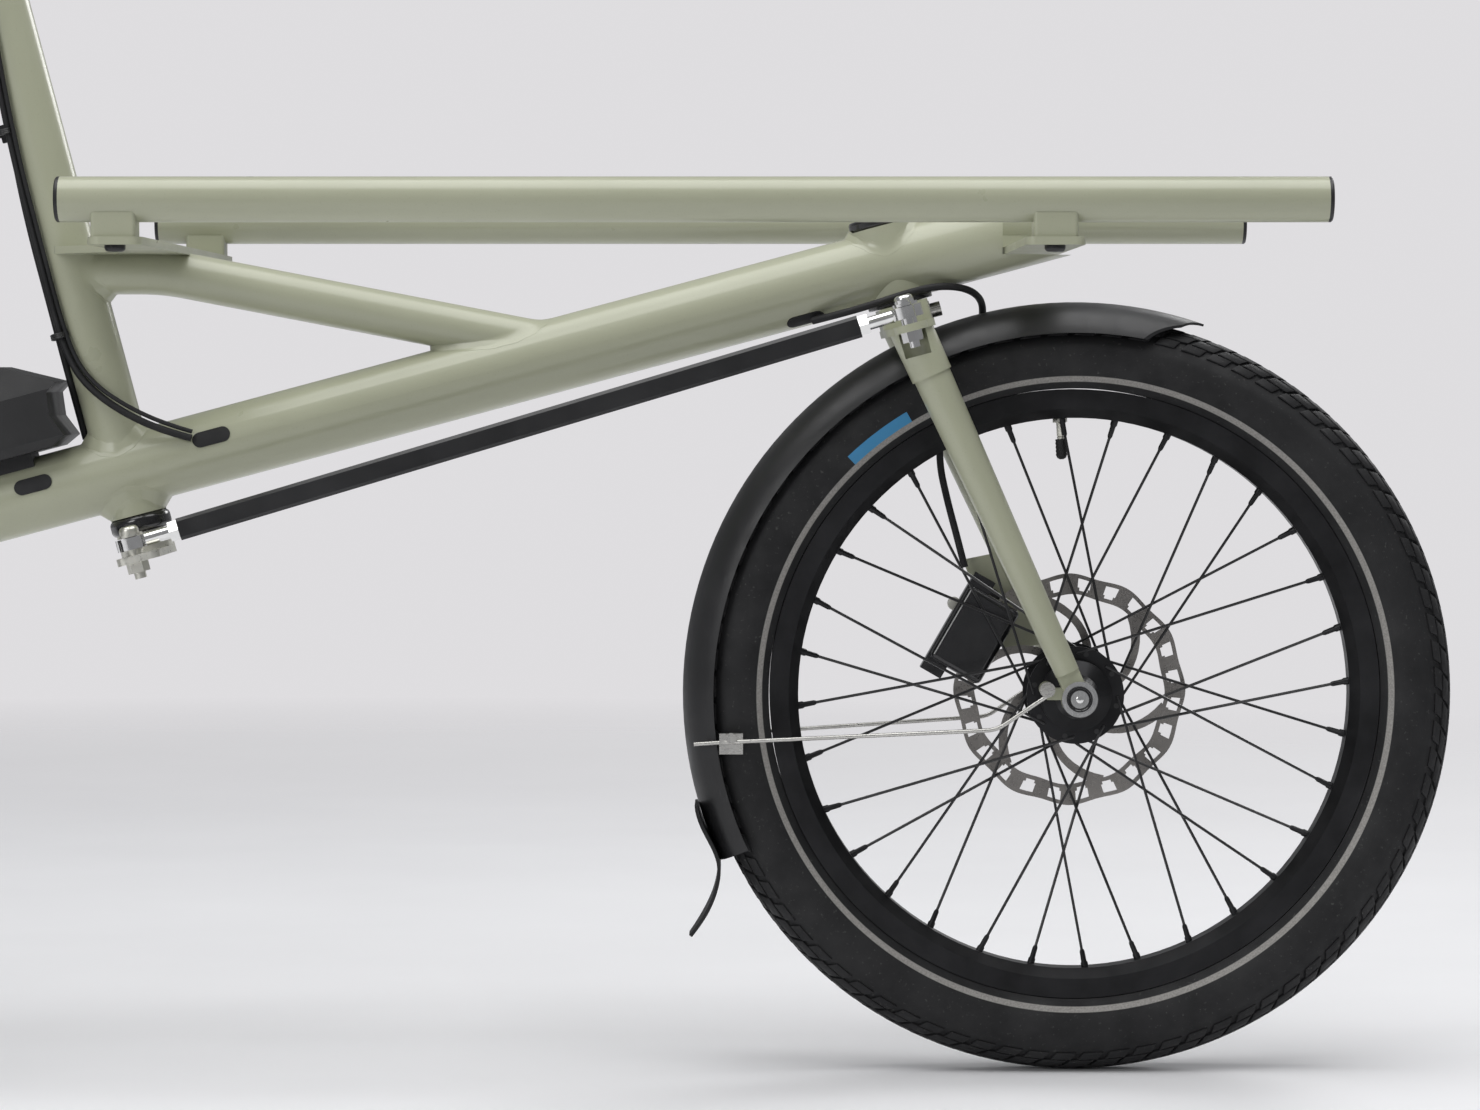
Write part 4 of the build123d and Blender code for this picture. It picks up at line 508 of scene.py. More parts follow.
# ---------------------------------------------------------------- tyres, rims and spokes
def tyre(name, centre, radius, material, body, pairs):
    """Round casing with a lower tread floor, shoulder blocks and a broken centre rib."""
    shape = Shape()
    middle = radius - TYRE_HALF
    steps = 240
    outline = []
    for degree in range(-144, 145, 6):
        angle = radians(degree)
        depth = 2.0 if abs(degree) < 58 else 0.25 if abs(degree) > 66 else 1.1
        outline.append((middle + (TYRE_HALF - depth) * cos(angle), (TYRE_HALF - depth) * sin(angle)))
    inner = TYRE_HALF - 4.0
    for degree in range(144, -145, -12):
        angle = radians(degree)
        outline.append((middle + inner * cos(angle), inner * sin(angle)))
    points = [around(centre, r, angle, y) for r, y in outline for angle in turns(steps)]
    shape.grid(len(outline), steps, points, around_rows=True, around_columns=True)
    tread_blocks(shape, centre, middle, pairs)
    return piece(name, shape, material, body, 32.0)


def tread_blocks(shape, centre, middle, count):
    """Rows of slanted blocks: (start, end) across the tread in degrees, length share, slant, phase."""
    rows = (
        (-7.5, 7.5, 0.80, 0.05, 0.0), (9.5, 24, 0.86, 0.22, 0.3), (-24, -9.5, 0.86, -0.22, 0.3),
        (26, 42, 0.84, 0.26, 0.75), (-42, -26, 0.84, -0.26, 0.75), (44, 58, 0.72, 0.2, 0.25),
        (-58, -44, 0.72, -0.2, 0.25),
    )
    pitch = 2 * pi / count
    for low, high, share, slant, phase in rows:
        for index in range(count):
            start = (index + phase) * pitch
            block = []
            for depth, shrink in ((2.4, 0.0), (0.45, 0.0), (0.05, 0.09)):
                for across, along in ((0, 0), (0.5, 0), (1, 0), (1, 1), (0.5, 1), (0, 1)):
                    width = shrink + across * (1 - 2 * shrink)
                    run = (shrink + along * (1 - 2 * shrink)) * share + (width - 0.5) * slant
                    tilt = radians(low + (high - low) * width)
                    turn = start + run * pitch
                    reach = TYRE_HALF - depth
                    block.append(around(centre, middle + reach * cos(tilt), turn, reach * sin(tilt)))
            sides = []
            for layer in (0, 6):
                for k in range(6):
                    n = (k + 1) % 6
                    sides.append([layer + k, layer + n, layer + 6 + n, layer + 6 + k])
            top = [[12, 13, 16, 17], [13, 14, 15, 16]]
            shape.add(block, sides + top)


def spokes(name, centre, radius, flange_r, flange_y, lean, body, materials):
    """Spokes with their heads and elbows at the flanges, and nipples at the rim."""
    wires, nipples = Shape(), Shape()
    rim_inner = rim_inside(radius)
    for index in range(SPOKES):
        side = 1 if index % 2 else -1
        outside = 1 if index // 2 % 2 else -1
        angle = radians(90 + 2.6 + index * 360 / SPOKES)
        root = angle + radians(lean if index // 2 % 2 else -lean)
        hole = around(centre, flange_r, root, side * flange_y)
        head = hole - Y * (side * outside * 2.3 * MM)
        neck = hole + Y * (side * outside * 2.2 * MM)
        end = around(centre, rim_inner, angle, side * 3.0)
        run = end - neck
        elbow = neck + run.normalized() * (2.2 * MM)
        points = [head, head + (hole - head) * 0.35, hole, neck, elbow, neck + run * 0.5, end]
        tube(wires, points, [1.9, 1.0, 1.0, 1.0, 1.0, 1.0, 1.0], 8)
        back = -run.normalized()
        tube(nipples, [end - back * 2 * MM, end + back * 3 * MM, end + back * 4 * MM, end + back * 11 * MM,
                       end + back * 12.5 * MM], [2.5, 2.5, 1.9, 1.75, 1.2], 10)
    wire = piece(name, wires, materials[0], body)
    node = name.replace("_wires", "")
    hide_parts(node)
    piece(node + "_nipples", nipples, materials[1], body)


def valve(name, centre, radius, angle, body):
    """Valve stem with its nut at the rim and a ribbed cap."""
    base = around(centre, rim_inside(radius), angle, 0)
    inward = (centre - base).normalized()
    stem, cap = Shape(), Shape()
    thread = [(2.3, 12.5), (2.6, 13), (2.3, 14), (2.6, 15), (2.3, 16)]
    lathe(stem, [(2.6, -2), (2.6, 12)] + thread, base, inward, 16)
    hex_nut(stem, base, inward, 9, 3)
    ribs = [(3.9 - 0.35 * (k % 2), 14.5 + k * 1.3) for k in range(9)]
    lathe(cap, [(3.0, 14.2)] + ribs + [(3.0, 27), (1.4, 28)], base, inward, 20)
    piece(name + "_stem", stem, ZINC, body)
    piece(name + "_cap", cap, RUBBER, body)


def rotor(name, centre, y, body, node):
    """Brake disc: wavy ring with slots, on six swept arms."""
    outer_r, inner_r = 80.0, 65.0
    shares = (0, 0.2, 0.35, 0.5, 0.65, 0.8, 1)
    shape = Shape()
    columns = []
    for angle in turns(DISC_STEPS):
        out = outer_r - 1.1 + 1.1 * cos(DISC_WAVES * angle)
        inside = inner_r + 0.8 * cos(DISC_WAVES * angle + 0.6)
        columns.append([(inside + (out - inside) * share, angle) for share in shares])
    plate_with_slots(shape, centre, y, DISC_HALF, columns, disc_slots())
    sweep, stations = radians(50), 12
    for base in turns(6):
        spine, widths = [], []
        for k in range(stations + 1):
            t = k / stations
            spine.append((DISC_SEAT + 3 + (inner_r - 1 - DISC_SEAT) * t, base + sweep * t ** 1.2))
            widths.append(3.6 - 0.9 * sin(pi * k / stations))
        ribbon(shape, centre, y, 0.88 * DISC_HALF, spine, widths)
    seat_outer = DISC_SEAT + 7
    ring = [
        (DISC_SEAT, -DISC_HALF), (seat_outer, -DISC_HALF), (seat_outer, DISC_HALF), (DISC_SEAT, DISC_HALF),
    ]
    lathe(shape, ring, centre + Y * (y * MM), Y, 72, closed=True)
    obj = piece(name, shape, ROTOR, body, 35.0)
    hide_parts(node)


def disc_slots():
    """Which cells of the braking ring are open: (first column, last column, first row, last row)."""
    cuts = []
    slots = 2 * DISC_WAVES
    for start in range(0, DISC_STEPS, DISC_STEPS // slots):
        cuts.append((start + 7, start + 21, 2, 5))
        cuts.append((start + 9, start + 19, 1, 2))
    return cuts


def plate_with_slots(shape, centre, y, half, columns, cuts):
    """Flat ring made of cells, without the cells of its slots, and with walls round every opening."""
    count, rows = len(columns), len(columns[0])
    gone = set()
    for first, last, low, high in cuts:
        for c in range(first, last):
            for r in range(low, high):
                gone.add((c % count, r))
    points = [
        around(centre, r, a, y + side) for side in (-half, half) for column in columns for r, a in column
    ]
    layer = count * rows

    def node(c, r, top):
        return (c % count) * rows + r + (layer if top else 0)

    faces = []
    for c in range(count):
        for r in range(rows - 1):
            if (c, r) in gone:
                continue
            corners = ((c, r), (c + 1, r), (c + 1, r + 1), (c, r + 1))
            for top in (False, True):
                faces.append([node(*corner, top) for corner in corners])
            sides = (
                (((c - 1) % count, r), (c, r), (c, r + 1)),
                (((c + 1) % count, r), (c + 1, r), (c + 1, r + 1)),
                ((c, r - 1), (c, r), (c + 1, r)),
                ((c, r + 1), (c, r + 1), (c + 1, r + 1)),
            )
            for neighbour, a, b in sides:
                if neighbour in gone or neighbour[1] < 0 or neighbour[1] > rows - 2:
                    faces.append([node(*a, False), node(*b, False), node(*b, True), node(*a, True)])
    shape.add(points, faces)


def ribbon(shape, centre, y, half, spine, widths):
    """Flat curved arm along (radius, angle) points."""
    line = [around(centre, r, a, y) for r, a in spine]
    points = []
    for index, point in enumerate(line):
        after = line[min(index + 1, len(line) - 1)]
        before = line[max(index - 1, 0)]
        side = (after - before).normalized().cross(Y) * (widths[index] * MM)
        for sign, lift in ((-1, -1), (1, -1), (1, 1), (-1, 1)):
            points.append(point + side * sign + Y * (lift * half * MM))
    shape.grid(len(line), 4, points, around_columns=True, cap=True)


def rotor_bolts(name, centre, y, circle, body):
    shape = Shape()
    for index in range(6):
        angle = radians(index * 60 + 12)
        bolt(shape, around(centre, circle, angle, y), Y, 4.2, 3.0)
    piece(name, shape, BLACK_STEEL, body)


def toothed_ring(name, centre, y, root, tip, inner, count, half, material, body):
    """Flat ring with rounded teeth."""
    shape = Shape()
    steps = count * 8
    rings = []
    for height in (-half, half):
        outer, inside = [], []
        for angle in turns(steps):
            wave = 0.5 + 0.5 * cos(angle * count)
            thin = 0.55 if wave > 0.6 else 1.0
            outer.append(around(centre, root + (tip - root) * wave ** 1.6, angle, y + height * thin))
            inside.append(around(centre, inner, angle, y + height))
        rings.append((outer, inside))
    order = rings[0][0] + rings[1][0] + rings[1][1] + rings[0][1]
    shape.grid(4, steps, order, around_rows=True, around_columns=True)
    return piece(name, shape, material, body, 30.0)


# ---------------------------------------------------------------- chain
def belt(first, first_r, second, second_r, count):
    """Points at equal distances round two circles and their outside tangents, in the wheel's plane."""
    gap = Vector((second.x - first.x, 0, second.z - first.z))
    span = gap.length / MM
    base = atan2(gap.z, gap.x)
    spread = acos((first_r - second_r) / span)
    straight = sqrt(span**2 - (first_r - second_r) ** 2)
    arc_first = (2 * pi - 2 * spread) * first_r
    arc_second = 2 * spread * second_r
    total = 2 * straight + arc_first + arc_second
    out = []
    for index in range(count):
        s = total * index / count
        if s < arc_first:
            out.append(around(first, first_r, base + spread + s / first_r, 0))
            continue
        s -= arc_first
        low_first = around(first, first_r, base - spread, 0)
        low_second = around(second, second_r, base - spread, 0)
        if s < straight:
            out.append(low_first.lerp(low_second, s / straight))
            continue
        s -= straight
        if s < arc_second:
            out.append(around(second, second_r, base - spread + s / second_r, 0))
            continue
        s -= arc_second
        high_second = around(second, second_r, base + spread, 0)
        high_first = around(first, first_r, base + spread, 0)
        out.append(high_second.lerp(high_first, s / straight))
    return out


def chain():
    """Chain of alternating link plates with pins and rollers."""
    lo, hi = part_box("chain")
    line = (lo.y + hi.y) / 2
    ring_r = CHAINRING_TEETH * CHAIN_PITCH / (2 * pi)
    cog_r = COG_TEETH * CHAIN_PITCH / (2 * pi)
    joints = belt(CRANK, ring_r, REAR, cog_r, LINKS)
    end_r, plate_half = 3.9, 0.35
    roller = [
        (2.0, -3.3), (2.1, -3.1), (2.1, -1.6), (3.4, -1.5), (3.4, 1.5), (2.1, 1.6), (2.1, 3.1), (2.0, 3.3),
    ]
    plates, rollers = Shape(), Shape()
    for index, start in enumerate(joints):
        end = joints[(index + 1) % len(joints)]
        run = (end - start).normalized()
        rise = run.cross(Y)
        outer = index % 2
        for side in (-1, 1):
            y = line + side * (2.75 if outer else 2.0) * MM
            ring = []
            for layer in (-plate_half, plate_half):
                for centre, away in ((start, -1), (end, 1)):
                    for step in range(7):
                        angle = radians(-66 + 22 * step)
                        ahead, above = away * cos(angle) * end_r * MM, away * sin(angle) * end_r * MM
                        p = centre + run * ahead + rise * above
                        ring.append(Vector((p.x, y + layer * MM, p.z)))
            half = 14
            faces = [list(range(half))[::-1], list(range(half, 2 * half))]
            faces += [[k, (k + 1) % half, half + (k + 1) % half, half + k] for k in range(half)]
            plates.add(ring, faces)
        pin = Vector((start.x, line, start.z))
        lathe(rollers, roller, pin, Y, 12)
    plate = piece("chain_plates", plates, CHAIN, "frame")
    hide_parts("chain")
    piece("chain_rollers", rollers, STEEL, "frame")


# ---------------------------------------------------------------- welds
def saddle_ring(start, heading, radius, big_start, big_heading, big_radius, pick, steps=72):
    """Closed line where a tube meets a bigger tube's outside; pick chooses the near or far side."""
    heading = heading.normalized()
    big_heading = big_heading.normalized()
    side = heading.orthogonal().normalized()
    other = heading.cross(side)
    out = []
    for angle in turns(steps):
        origin = start + (side * cos(angle) + other * sin(angle)) * (radius * MM)
        offset = origin - big_start
        flat = offset - big_heading * offset.dot(big_heading)
        slope = heading - big_heading * heading.dot(big_heading)
        a = slope.dot(slope)
        b = 2 * flat.dot(slope)
        c = flat.dot(flat) - (big_radius * MM) ** 2
        root = b * b - 4 * a * c
        if root < 0:
            continue
        t = (-b + pick * sqrt(root)) / (2 * a)
        out.append(origin + heading * t)
    return out


def weld(shape, start, heading, radius, big_start, big_heading, big_radius, pick, size):
    """Concave fillet between a tube and the bigger tube it meets, uneven as a hand-laid weld is."""
    ring = saddle_ring(start, heading, radius, big_start, big_heading, big_radius, pick)
    heading = heading.normalized()
    big_heading = big_heading.normalized()
    away = heading if pick > 0 else -heading
    strip = []
    for index, corner in enumerate(ring):
        reach = (size + 0.35 * sin(index * 1.3) + 0.25 * sin(index * 0.47)) * MM
        on_tube = corner + away * reach
        offset = corner - start
        out = (offset - heading * offset.dot(heading)).normalized()
        big_offset = corner - big_start
        normal = (big_offset - big_heading * big_offset.dot(big_heading)).normalized()
        slide = (out - normal * out.dot(normal)).normalized()
        flat = corner + slide * reach
        along = (flat - big_start).dot(big_heading)
        core = big_start + big_heading * along
        on_big = core + (flat - core).normalized() * (big_radius * MM)
        strip.append((on_tube, corner, on_big, out, normal))
    points = []
    shares = (-0.12, 0.0, 0.17, 0.34, 0.5, 0.66, 0.83, 1.0, 1.12)
    proud, buried = 0.12 * MM, 0.9 * MM
    for share in shares:
        for on_tube, corner, on_big, out, normal in strip:
            t = min(max(share, 0.0), 1.0)
            place = on_tube * (1 - t) ** 2 + corner * (2 * t * (1 - t)) + on_big * t**2
            place += (out * (1 - t) + normal * t) * proud
            if share < 0:
                place -= out * buried
            if share > 1:
                place -= normal * buried
            points.append(place)
    shape.grid(len(shares), len(strip), points, around_rows=True, around_columns=True)


def welds():
    shape = Shape()
    for pick in (-1, 1):
        weld(shape, COLUMN_EYE, UP, COLUMN_R, CRANK, ALONG, MAIN_R, pick, 7.0)
    weld(shape, FORK_EYE, UP, HEAD_R, CRANK, ALONG, MAIN_R, 1, 4.5)
    brace_start, brace_bend, brace_end = brace_line()
    down = brace_end - brace_bend
    weld(shape, brace_start, brace_bend - brace_start, BRACE_R, COLUMN_EYE, UP, COLUMN_R, 1, 6.0)
    weld(shape, brace_bend, down, BRACE_R, CRANK, ALONG, MAIN_R, -1, 7.0)
    top_start = col(0, 0, 391)
    seat_dir = Vector(JOINTS["seat_height"]["axis"]).normalized()
    top_end = CRANK + seat_dir * 0.37
    weld(shape, top_end, top_start - top_end, TOP_TUBE_R, COLUMN_EYE, UP, COLUMN_R, -1, 5.0)
    weld(shape, top_start, top_end - top_start, TOP_TUBE_R, CRANK, seat_dir, SEAT_TUBE_R, -1, 5.0)
    piece("frame_welds", shape, SAGE, "frame", 60.0)


def brace_line():
    """The brace's start at the column, its bend, and its end at the main tube."""
    level = 560 - 0.8 - BRACE_R
    start = COLUMN_EYE + UP * ((level * MM - COLUMN_EYE.z) / UP.z)
    bend = start + Vector((0.062, 0, 0))
    end_x = start.x + 0.34
    end = MAIN_REF + ALONG * ((end_x - MAIN_REF.x) / ALONG.x)
    return start, bend, end


# ---------------------------------------------------------------- hoses
def route_line(name, points):
    """Smooth line along given points, as a plain list."""
    curve = bpy.data.curves.new(name + "_route", "CURVE")
    curve.dimensions = "3D"
    curve.resolution_u = 10
    spline = curve.splines.new("NURBS")
    spline.points.add(len(points) - 1)
    for target, point in zip(spline.points, points):
        target.co = (*point, 1)
    spline.order_u = 3
    spline.use_endpoint_u = True
    holder = bpy.data.objects.new(name + "_route", curve)
    bpy.context.scene.collection.objects.link(holder)
    bpy.context.view_layer.update()
    mesh = bpy.data.meshes.new_from_object(holder)
    line = [v.co.copy() for v in mesh.vertices]
    bpy.data.objects.remove(holder)
    bpy.data.meshes.remove(mesh)
    return line


def hose(name, points, radius, body=None, blended=None):
    """Hose: rides on one body, or, when blended is given, on no body, fixed where it is made."""
    line = route_line(name, points)
    shape = Shape()
    tube(shape, line, radius, 14)
    obj = piece(name, shape, HOSE, body, 60.0)
    if blended:
        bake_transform(obj)
    return obj, line


def hoses():
    """Brake hoses and motor cable, on the same points as their solids."""
    front = [
        col(67, -149, 678), col(76, -116, 664), col(78, -84, 632), col(68, -58, 592), col(46, -41, 552),
        col(20, -30, 508), col(-2, -24.5, 460), col(-9, -21.6, 408), col(-9.8, -21.4, 364),
        col(-13.6, -18.2, 318), col(-16.8, -15.4, 266), col(-17.4, -14.8, 214), col(-17.9, -14.6, 162),
        at(-682.5, -17, 489), at(-673, -20.4, 472), at(-657.5, -23.6, 457.5), at(-636, -26, 444.5),
        at(-614, -27.2, 435.5), at(-597, -27, 431),
    ]
    rear = [
        col(67, 149, 678), col(76, 116, 664), col(78, 84, 632), col(66, 56, 590), col(44, 39, 548),
        col(20, 30, 503), col(0, 25.5, 455), col(-9, 21.8, 405), col(-10.5, 21, 362), col(-15.5, 16.6, 318),
        col(-20, 10, 272), col(-21.8, 5.4, 222), col(-21.7, 4.6, 170), col(-22, 4.2, 120),
        col(-21.8, 4.6, 76.5),
    ]
    cable = [
        col(30, -24.6, 604), col(17, -25.2, 560), col(7, -25.8, 514), col(1.6, -25.6, 466),
        col(-4.6, -23.2, 416), col(-5.2, -22.8, 366), col(-9.8, -21, 318), col(-13.2, -18.8, 266),
        col(-13.6, -18.4, 214), col(-14, -18, 164), at(-678.5, -19.8, 490.5), at(-669.5, -22.6, 474.8),
        at(-655, -25, 461.4), at(-634, -26, 449), at(-612.5, -27, 440), at(-596.5, -26.8, 435.4),
    ]
    lower = [
        at(-178, -19.6, 510), at(-160, -26, 514.5), at(-139, -30, 520.5), at(-118, -30.5, 527.5),
        at(-98, -28, 533), at(-81, -17, 533.5), at(-68, -1, 530), at(-61, 16, 522.5), at(-61, 31, 509),
        at(-68, 39, 490), at(-79, 40, 467), at(-88, 40.5, 441), at(-90, 42, 414), at(-84, 43, 387),
        at(-77, 42, 361), at(-72, 40, 341),
    ]
    x, z = REAR.x, REAR.z
    short = [
        Vector((x + 0.190, 0.0525, z - 0.008)), Vector((x + 0.172, 0.0535, z + 0.007)),
        Vector((x + 0.148, 0.053, z + 0.020)), Vector((x + 0.126, 0.051, z + 0.034)),
        Vector((x + 0.104, 0.0485, z + 0.049)),
    ]
    turning = ("steering", "frame", col(0, 0, 640), col(0, 0, 440))
    first, _ = hose("front_brake_hose", front, 2.5, blended=turning)
    hose("rear_brake_hose", rear, 2.5, blended=turning)
    hose("motor_cable", cable, 1.5, blended=turning)
    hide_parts("upper_hoses")
    steering = ("frame", "fork", at(-150, -30, 520), at(-75, 10, 520))
    leg, _ = hose("fork_brake_hose", lower, 2.5, blended=steering)
    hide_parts("lower_hose")
    back, _ = hose("rear_caliper_hose", short, 2.5, body="frame")
    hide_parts("rear_hose")


def ties():
    """Nylon ties round the hoses."""
    shape = Shape()
    for height in (148.0, 290.0, 430.0):
        loop = [col(-18.0 + 6.5 * cos(angle), -7.5 + 14.5 * sin(angle), height) for angle in turns(48)]
        for lift in (-1.2, 0.0, 1.2):
            tube(shape, [p + UP * lift * MM for p in loop], 0.9, 8, closed=True)
    piece("hose_ties", shape, NYLON, "frame")


# ---------------------------------------------------------------- saddle
def saddle():
    """Padded saddle from a cloth simulation of its shell, with a seam round its lower edge."""
    lo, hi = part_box("saddle")
    length, width, height = hi - lo
    middle = (lo.y + hi.y) / 2
    stations = 34
    sides = 40
    points = []
    for row in range(stations):
        t = row / (stations - 1)
        ease = 0.5 - 0.5 * cos(pi * t)
        back = max(0.0, 1 - ease / 0.55)
        half = 0.13 + 0.34 * (1 - (1 - back) ** 2.2) if ease < 0.55 else 0.13 + 0.02 * (1 - ease)
        tip = sqrt(max(0.0, 1 - (2 * abs(ease - 0.5)) ** 7))
        half = width * half * (0.25 + 0.75 * tip)
        top = lo.z + height * (0.62 + 0.26 * (1 - ease) ** 1.5 + 0.12 * ease**2.5)
        base = lo.z + height * 0.18
        for angle in turns(sides):
            across = abs(cos(angle)) ** 0.75 * (1 if cos(angle) > 0 else -1)
            rise = abs(sin(angle)) ** 0.8 * (1 if sin(angle) > 0 else -1)
            z = (top + base) / 2 + (top - base) / 2 * rise * (0.6 + 0.4 * tip)
            points.append(Vector((lo.x + length * (0.03 + 0.94 * ease), middle + half * across, z)))
    shape = Shape()
    shape.grid(stations, sides, points, around_columns=True, cap=True)
    obj = piece("saddle_pad", shape, COVER, None, 80.0)
    inflate(obj, lo, hi)
    sub = obj.modifiers.new("smooth", "SUBSURF")
    sub.levels = 1
    sub.render_levels = 1
    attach(obj, "seat")
    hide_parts("saddle")
    seam(obj, lo, hi)


def inflate(obj, lo, hi):
    """Cloth under pressure, then limited so that no point moves far from its start."""
    frames, limit = 20, 0.005
    remesh = obj.modifiers.new("even", "REMESH")
    remesh.mode = "VOXEL"
    remesh.voxel_size = 0.005
    bpy.context.view_layer.update()
    graph = bpy.context.evaluated_depsgraph_get()
    even = bpy.data.meshes.new_from_object(obj.evaluated_get(graph))
    obj.modifiers.clear()
    obj.data = even
    start = [v.co.copy() for v in even.vertices]
    cloth = obj.modifiers.new("cloth", "CLOTH")
    cloth.settings.use_pressure = True
    cloth.settings.uniform_pressure_force = 4.0
    cloth.settings.effector_weights.gravity = 0.0
    cloth.settings.quality = 6
    cloth.point_cache.frame_start = 1
    cloth.point_cache.frame_end = frames
    for number in range(1, frames + 1):
        bpy.context.scene.frame_set(number)
    graph = bpy.context.evaluated_depsgraph_get()
    swollen = [v.co.copy() for v in obj.evaluated_get(graph).data.vertices]
    obj.modifiers.clear()
    bpy.context.scene.frame_set(1)
    for vertex, first, last in zip(even.vertices, start, swollen):
        move = last - first
        if move.length > limit:
            move = move.normalized() * limit
        place = first + move
        vertex.co = Vector(tuple(min(max(p, a), b) for p, a, b in zip(place, lo, hi)))
    even.shade_smooth()
    even.update()
    if not even.materials:
        even.materials.append(COVER)


def seam(obj, lo, hi):
    """Piped seam found on the pad's own surface, low down round its sides."""
    graph = bpy.context.evaluated_depsgraph_get()
    bpy.context.view_layer.update()
    mesh = bpy.data.meshes.new_from_object(obj.evaluated_get(graph))
    tree = BVHTree.FromPolygons([v.co for v in mesh.vertices], [list(p.vertices) for p in mesh.polygons])
    middle = Vector(((lo.x + hi.x) / 2, (lo.y + hi.y) / 2, lo.z + (hi.z - lo.z) * 0.36))
    ring = []
    for angle in turns(160):
        aim = Vector((cos(angle) * (hi.x - lo.x), sin(angle) * (hi.y - lo.y) * 1.4, 0))
        origin = middle + aim
        hit, _, _, _ = tree.ray_cast(origin, (middle - origin).normalized())
        if hit:
            ring.append(hit)
    bpy.data.meshes.remove(mesh)
    shape = Shape()
    tube(shape, ring, 1.1, 8, closed=True)
    piece("saddle_seam", shape, NYLON, "seat", 60.0)


# ---------------------------------------------------------------- small fittings
def fittings():
    """Bolts and screws that the solids leave out."""
    steel = Shape()
    lo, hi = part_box("front_caliper")
    outer = hi.y
    for dx, dz in ((-0.010, 0.016), (0.014, -0.012)):
        centre = Vector(((lo.x + hi.x) / 2 + dx, outer - 0.0095, (lo.z + hi.z) / 2 + dz))
        bolt(steel, centre, Y, 4.6, 4.0)
    piece("caliper_screws", steel, ZINC, "fork")
    axle_low, axle_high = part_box("front_axle")
    recess, pin = Shape(), Shape()
    dish = [(0.5, -0.9), (7.4, -0.9), (8.6, -0.5), (8.6, 0.12), (7.6, 0.12), (6.9, -0.5), (0.5, -0.5)]
    stub = [(0.4, -0.8), (2.5, -0.8), (2.5, 0.2), (2.0, 0.5), (0.4, 0.5)]
    for face, out in ((axle_low.y, -Y), (axle_high.y, Y)):
        end = Vector((AXLE.x, face, AXLE.z))
        lathe(recess, dish, end, out, 48)
        lathe(pin, stub, end, out, 24)
    piece("axle_recess", recess, GLOSS, "fork")
    piece("axle_pin", pin, CHROME, "fork")
    stem_bolts = Shape()
    for side in (-1, 1):
        for height in (8, 34):
            bolt(stem_bolts, col(-18.2, side * 8, 634 + height), -FORWARD, 3.4, 3.0)
            bolt(stem_bolts, col(82.2, side * 17, 641.5 + height * 0.6), FORWARD, 3.2, 3.0)
    piece("stem_bolts", stem_bolts, BLACK_STEEL, "steering")


# ---------------------------------------------------------------- build
for node, material in CAD_FINISH.items():
    mesh = frame["nodes"][node].data
    mesh.materials.clear()
    mesh.materials.append(material)

front_tyre = tyre("front_tyre_casing", AXLE, FRONT_R, FRONT_TYRE, "front_wheel", 84)
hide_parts("front_tyre")
rear_tyre = tyre("rear_tyre_casing", REAR, REAR_R, REAR_TYRE, "rear_wheel", 108)
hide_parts("rear_tyre")
finishes = (BLACK_STEEL, ALLOY)
spokes("front_spokes_wires", AXLE, FRONT_R, 28.5, 22.0, 62, "front_wheel", finishes)
spokes("rear_spokes_wires", REAR, REAR_R, 44.0, 28.0, 50, "rear_wheel", finishes)
valve("front_valve", AXLE, FRONT_R, radians(92.9), "front_wheel")
valve("rear_valve", REAR, REAR_R, radians(92.9), "rear_wheel")
rotor("front_brake_disc", AXLE, 35.0, "front_wheel", "front_rotor")
rotor("rear_brake_disc", REAR, 50.0, "rear_wheel", "rear_rotor")
rotor_bolts("front_rotor_bolts", AXLE, 35.9, 23.0, "front_wheel")
rotor_bolts("rear_rotor_bolts", REAR, 50.9, 23.0, "rear_wheel")
toothed_ring("chainring_teeth", CRANK, -50.0, 82.0, 91.0, 78.0, CHAINRING_TEETH, 1.9, ALLOY, "crank")
toothed_ring("cog_teeth", REAR, -50.0, 30.5, 38.4, 24.0, COG_TEETH, 1.9, CHAIN, "rear_cog")
chain()
welds()
hoses()
ties()
saddle()
fittings()


# ---------------------------------------------------------------- stage, light and camera
def floor():
    mesh = bpy.data.meshes.new("floor")
    work = bmesh.new()
    bmesh.ops.create_grid(work, x_segments=24, y_segments=24, size=7.0)
    work.to_mesh(mesh)
    work.free()
    mesh.materials.append(floor_finish())
    obj = bpy.data.objects.new("floor", mesh)
    bpy.context.scene.collection.objects.link(obj)


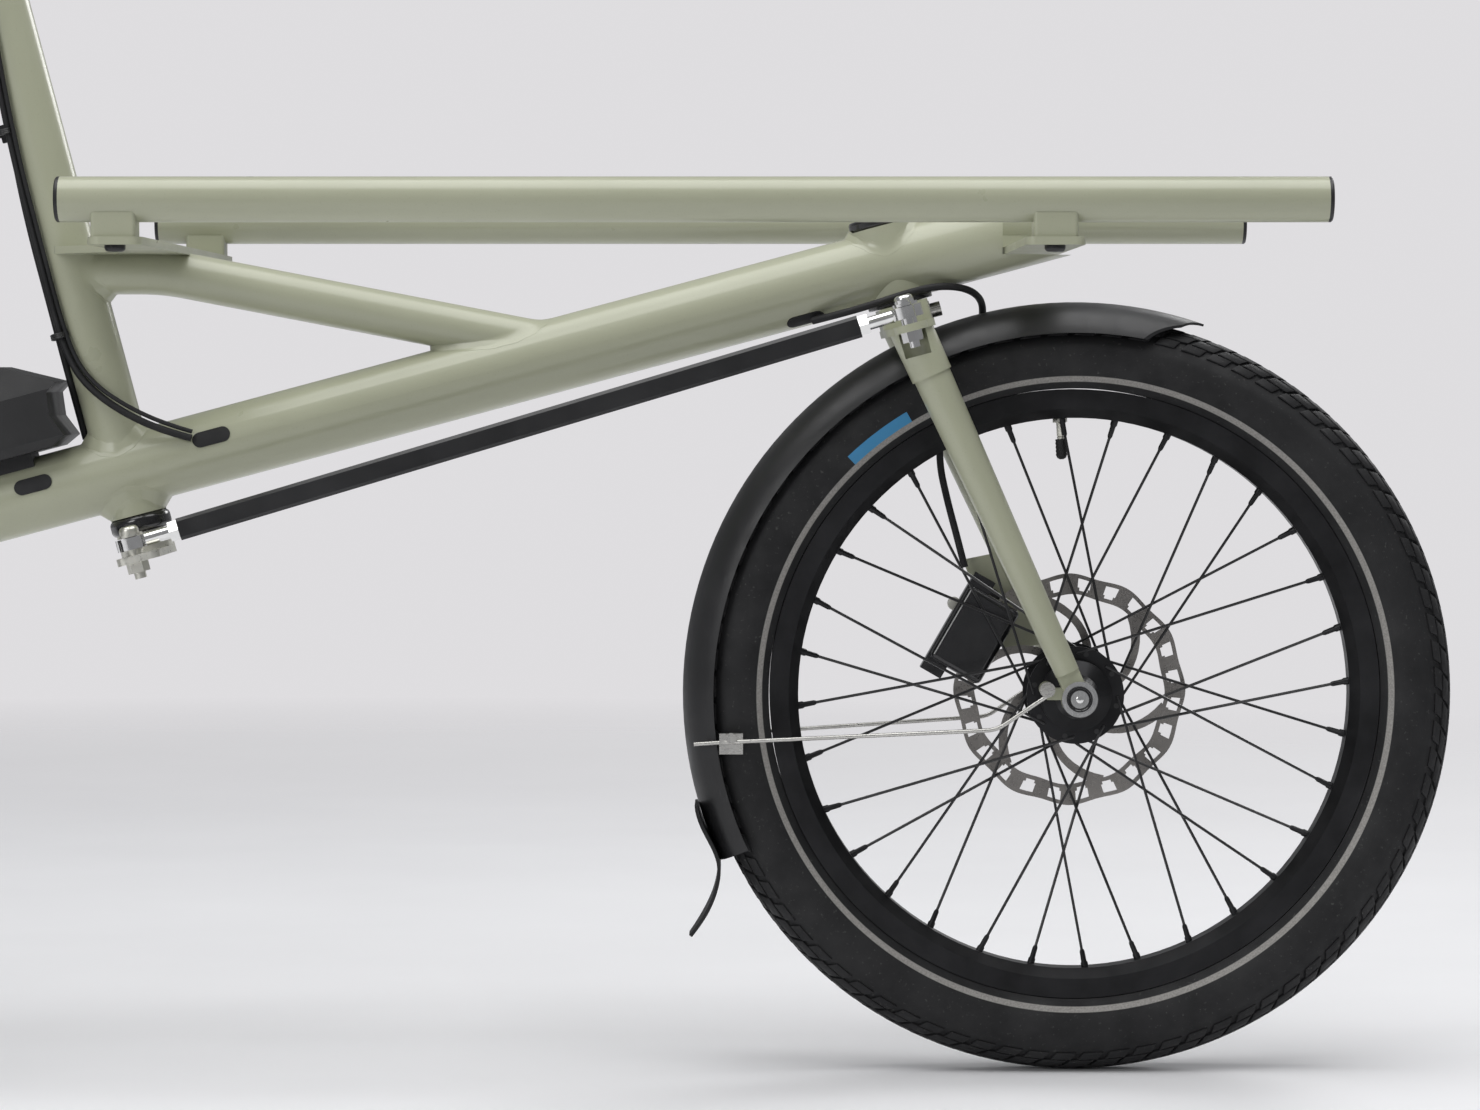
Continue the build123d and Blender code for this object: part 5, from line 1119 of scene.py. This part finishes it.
def soft_light(name, place, target, width, height, power, tint=(1, 1, 1)):
    data = bpy.data.lights.new(name, "AREA")
    data.shape = "RECTANGLE"
    data.size = width
    data.size_y = height
    data.energy = power
    data.color = tint
    lamp = bpy.data.objects.new(name, data)
    lamp.location = place
    lamp.rotation_euler = (Vector(target) - Vector(place)).to_track_quat("-Z", "Y").to_euler()
    bpy.context.scene.collection.objects.link(lamp)


def world():
    """Even pale surroundings, seen by the camera brighter than they light the object."""
    scene_world = bpy.data.worlds.new("studio")
    bpy.context.scene.world = scene_world
    scene_world.use_nodes = True
    tree = scene_world.node_tree
    tree.nodes.clear()
    output = tree.nodes.new("ShaderNodeOutputWorld")
    seen = tree.nodes.new("ShaderNodeBackground")
    seen.inputs["Color"].default_value = (0.735, 0.725, 0.742, 1)
    seen.inputs["Strength"].default_value = 1.0
    lighting = tree.nodes.new("ShaderNodeBackground")
    lighting.inputs["Color"].default_value = (0.96, 0.97, 1.0, 1)
    lighting.inputs["Strength"].default_value = 0.26
    mix = tree.nodes.new("ShaderNodeMixShader")
    ray = tree.nodes.new("ShaderNodeLightPath")
    tree.links.new(ray.outputs["Is Camera Ray"], mix.inputs["Fac"])
    tree.links.new(lighting.outputs["Background"], mix.inputs[1])
    tree.links.new(seen.outputs["Background"], mix.inputs[2])
    tree.links.new(mix.outputs["Shader"], output.inputs["Surface"])


def camera():
    data = bpy.data.cameras.new("camera")
    data.lens = 112.6
    data.sensor_width = 36.0
    data.clip_end = 60.0
    obj = bpy.data.objects.new("camera", data)
    obj.location = (AXLE.x - 0.227, -3.15, 0.477)
    obj.rotation_euler = (radians(90 - 2.29), 0, 0)
    bpy.context.scene.collection.objects.link(obj)
    bpy.context.scene.camera = obj


floor()
soft_light("overhead", (0.3, -0.5, 3.0), (0.3, 0, 0.4), 4.2, 2.6, 94)
soft_light("front_left", (-2.2, -3.6, 1.9), (0.2, 0, 0.4), 1.6, 1.6, 42)
soft_light("back_right", (2.4, 2.8, 2.2), (0.3, 0, 0.5), 1.6, 1.6, 40)
world()
camera()
bpy.context.scene.view_settings.view_transform = "Standard"

bpy.context.view_layer.update()
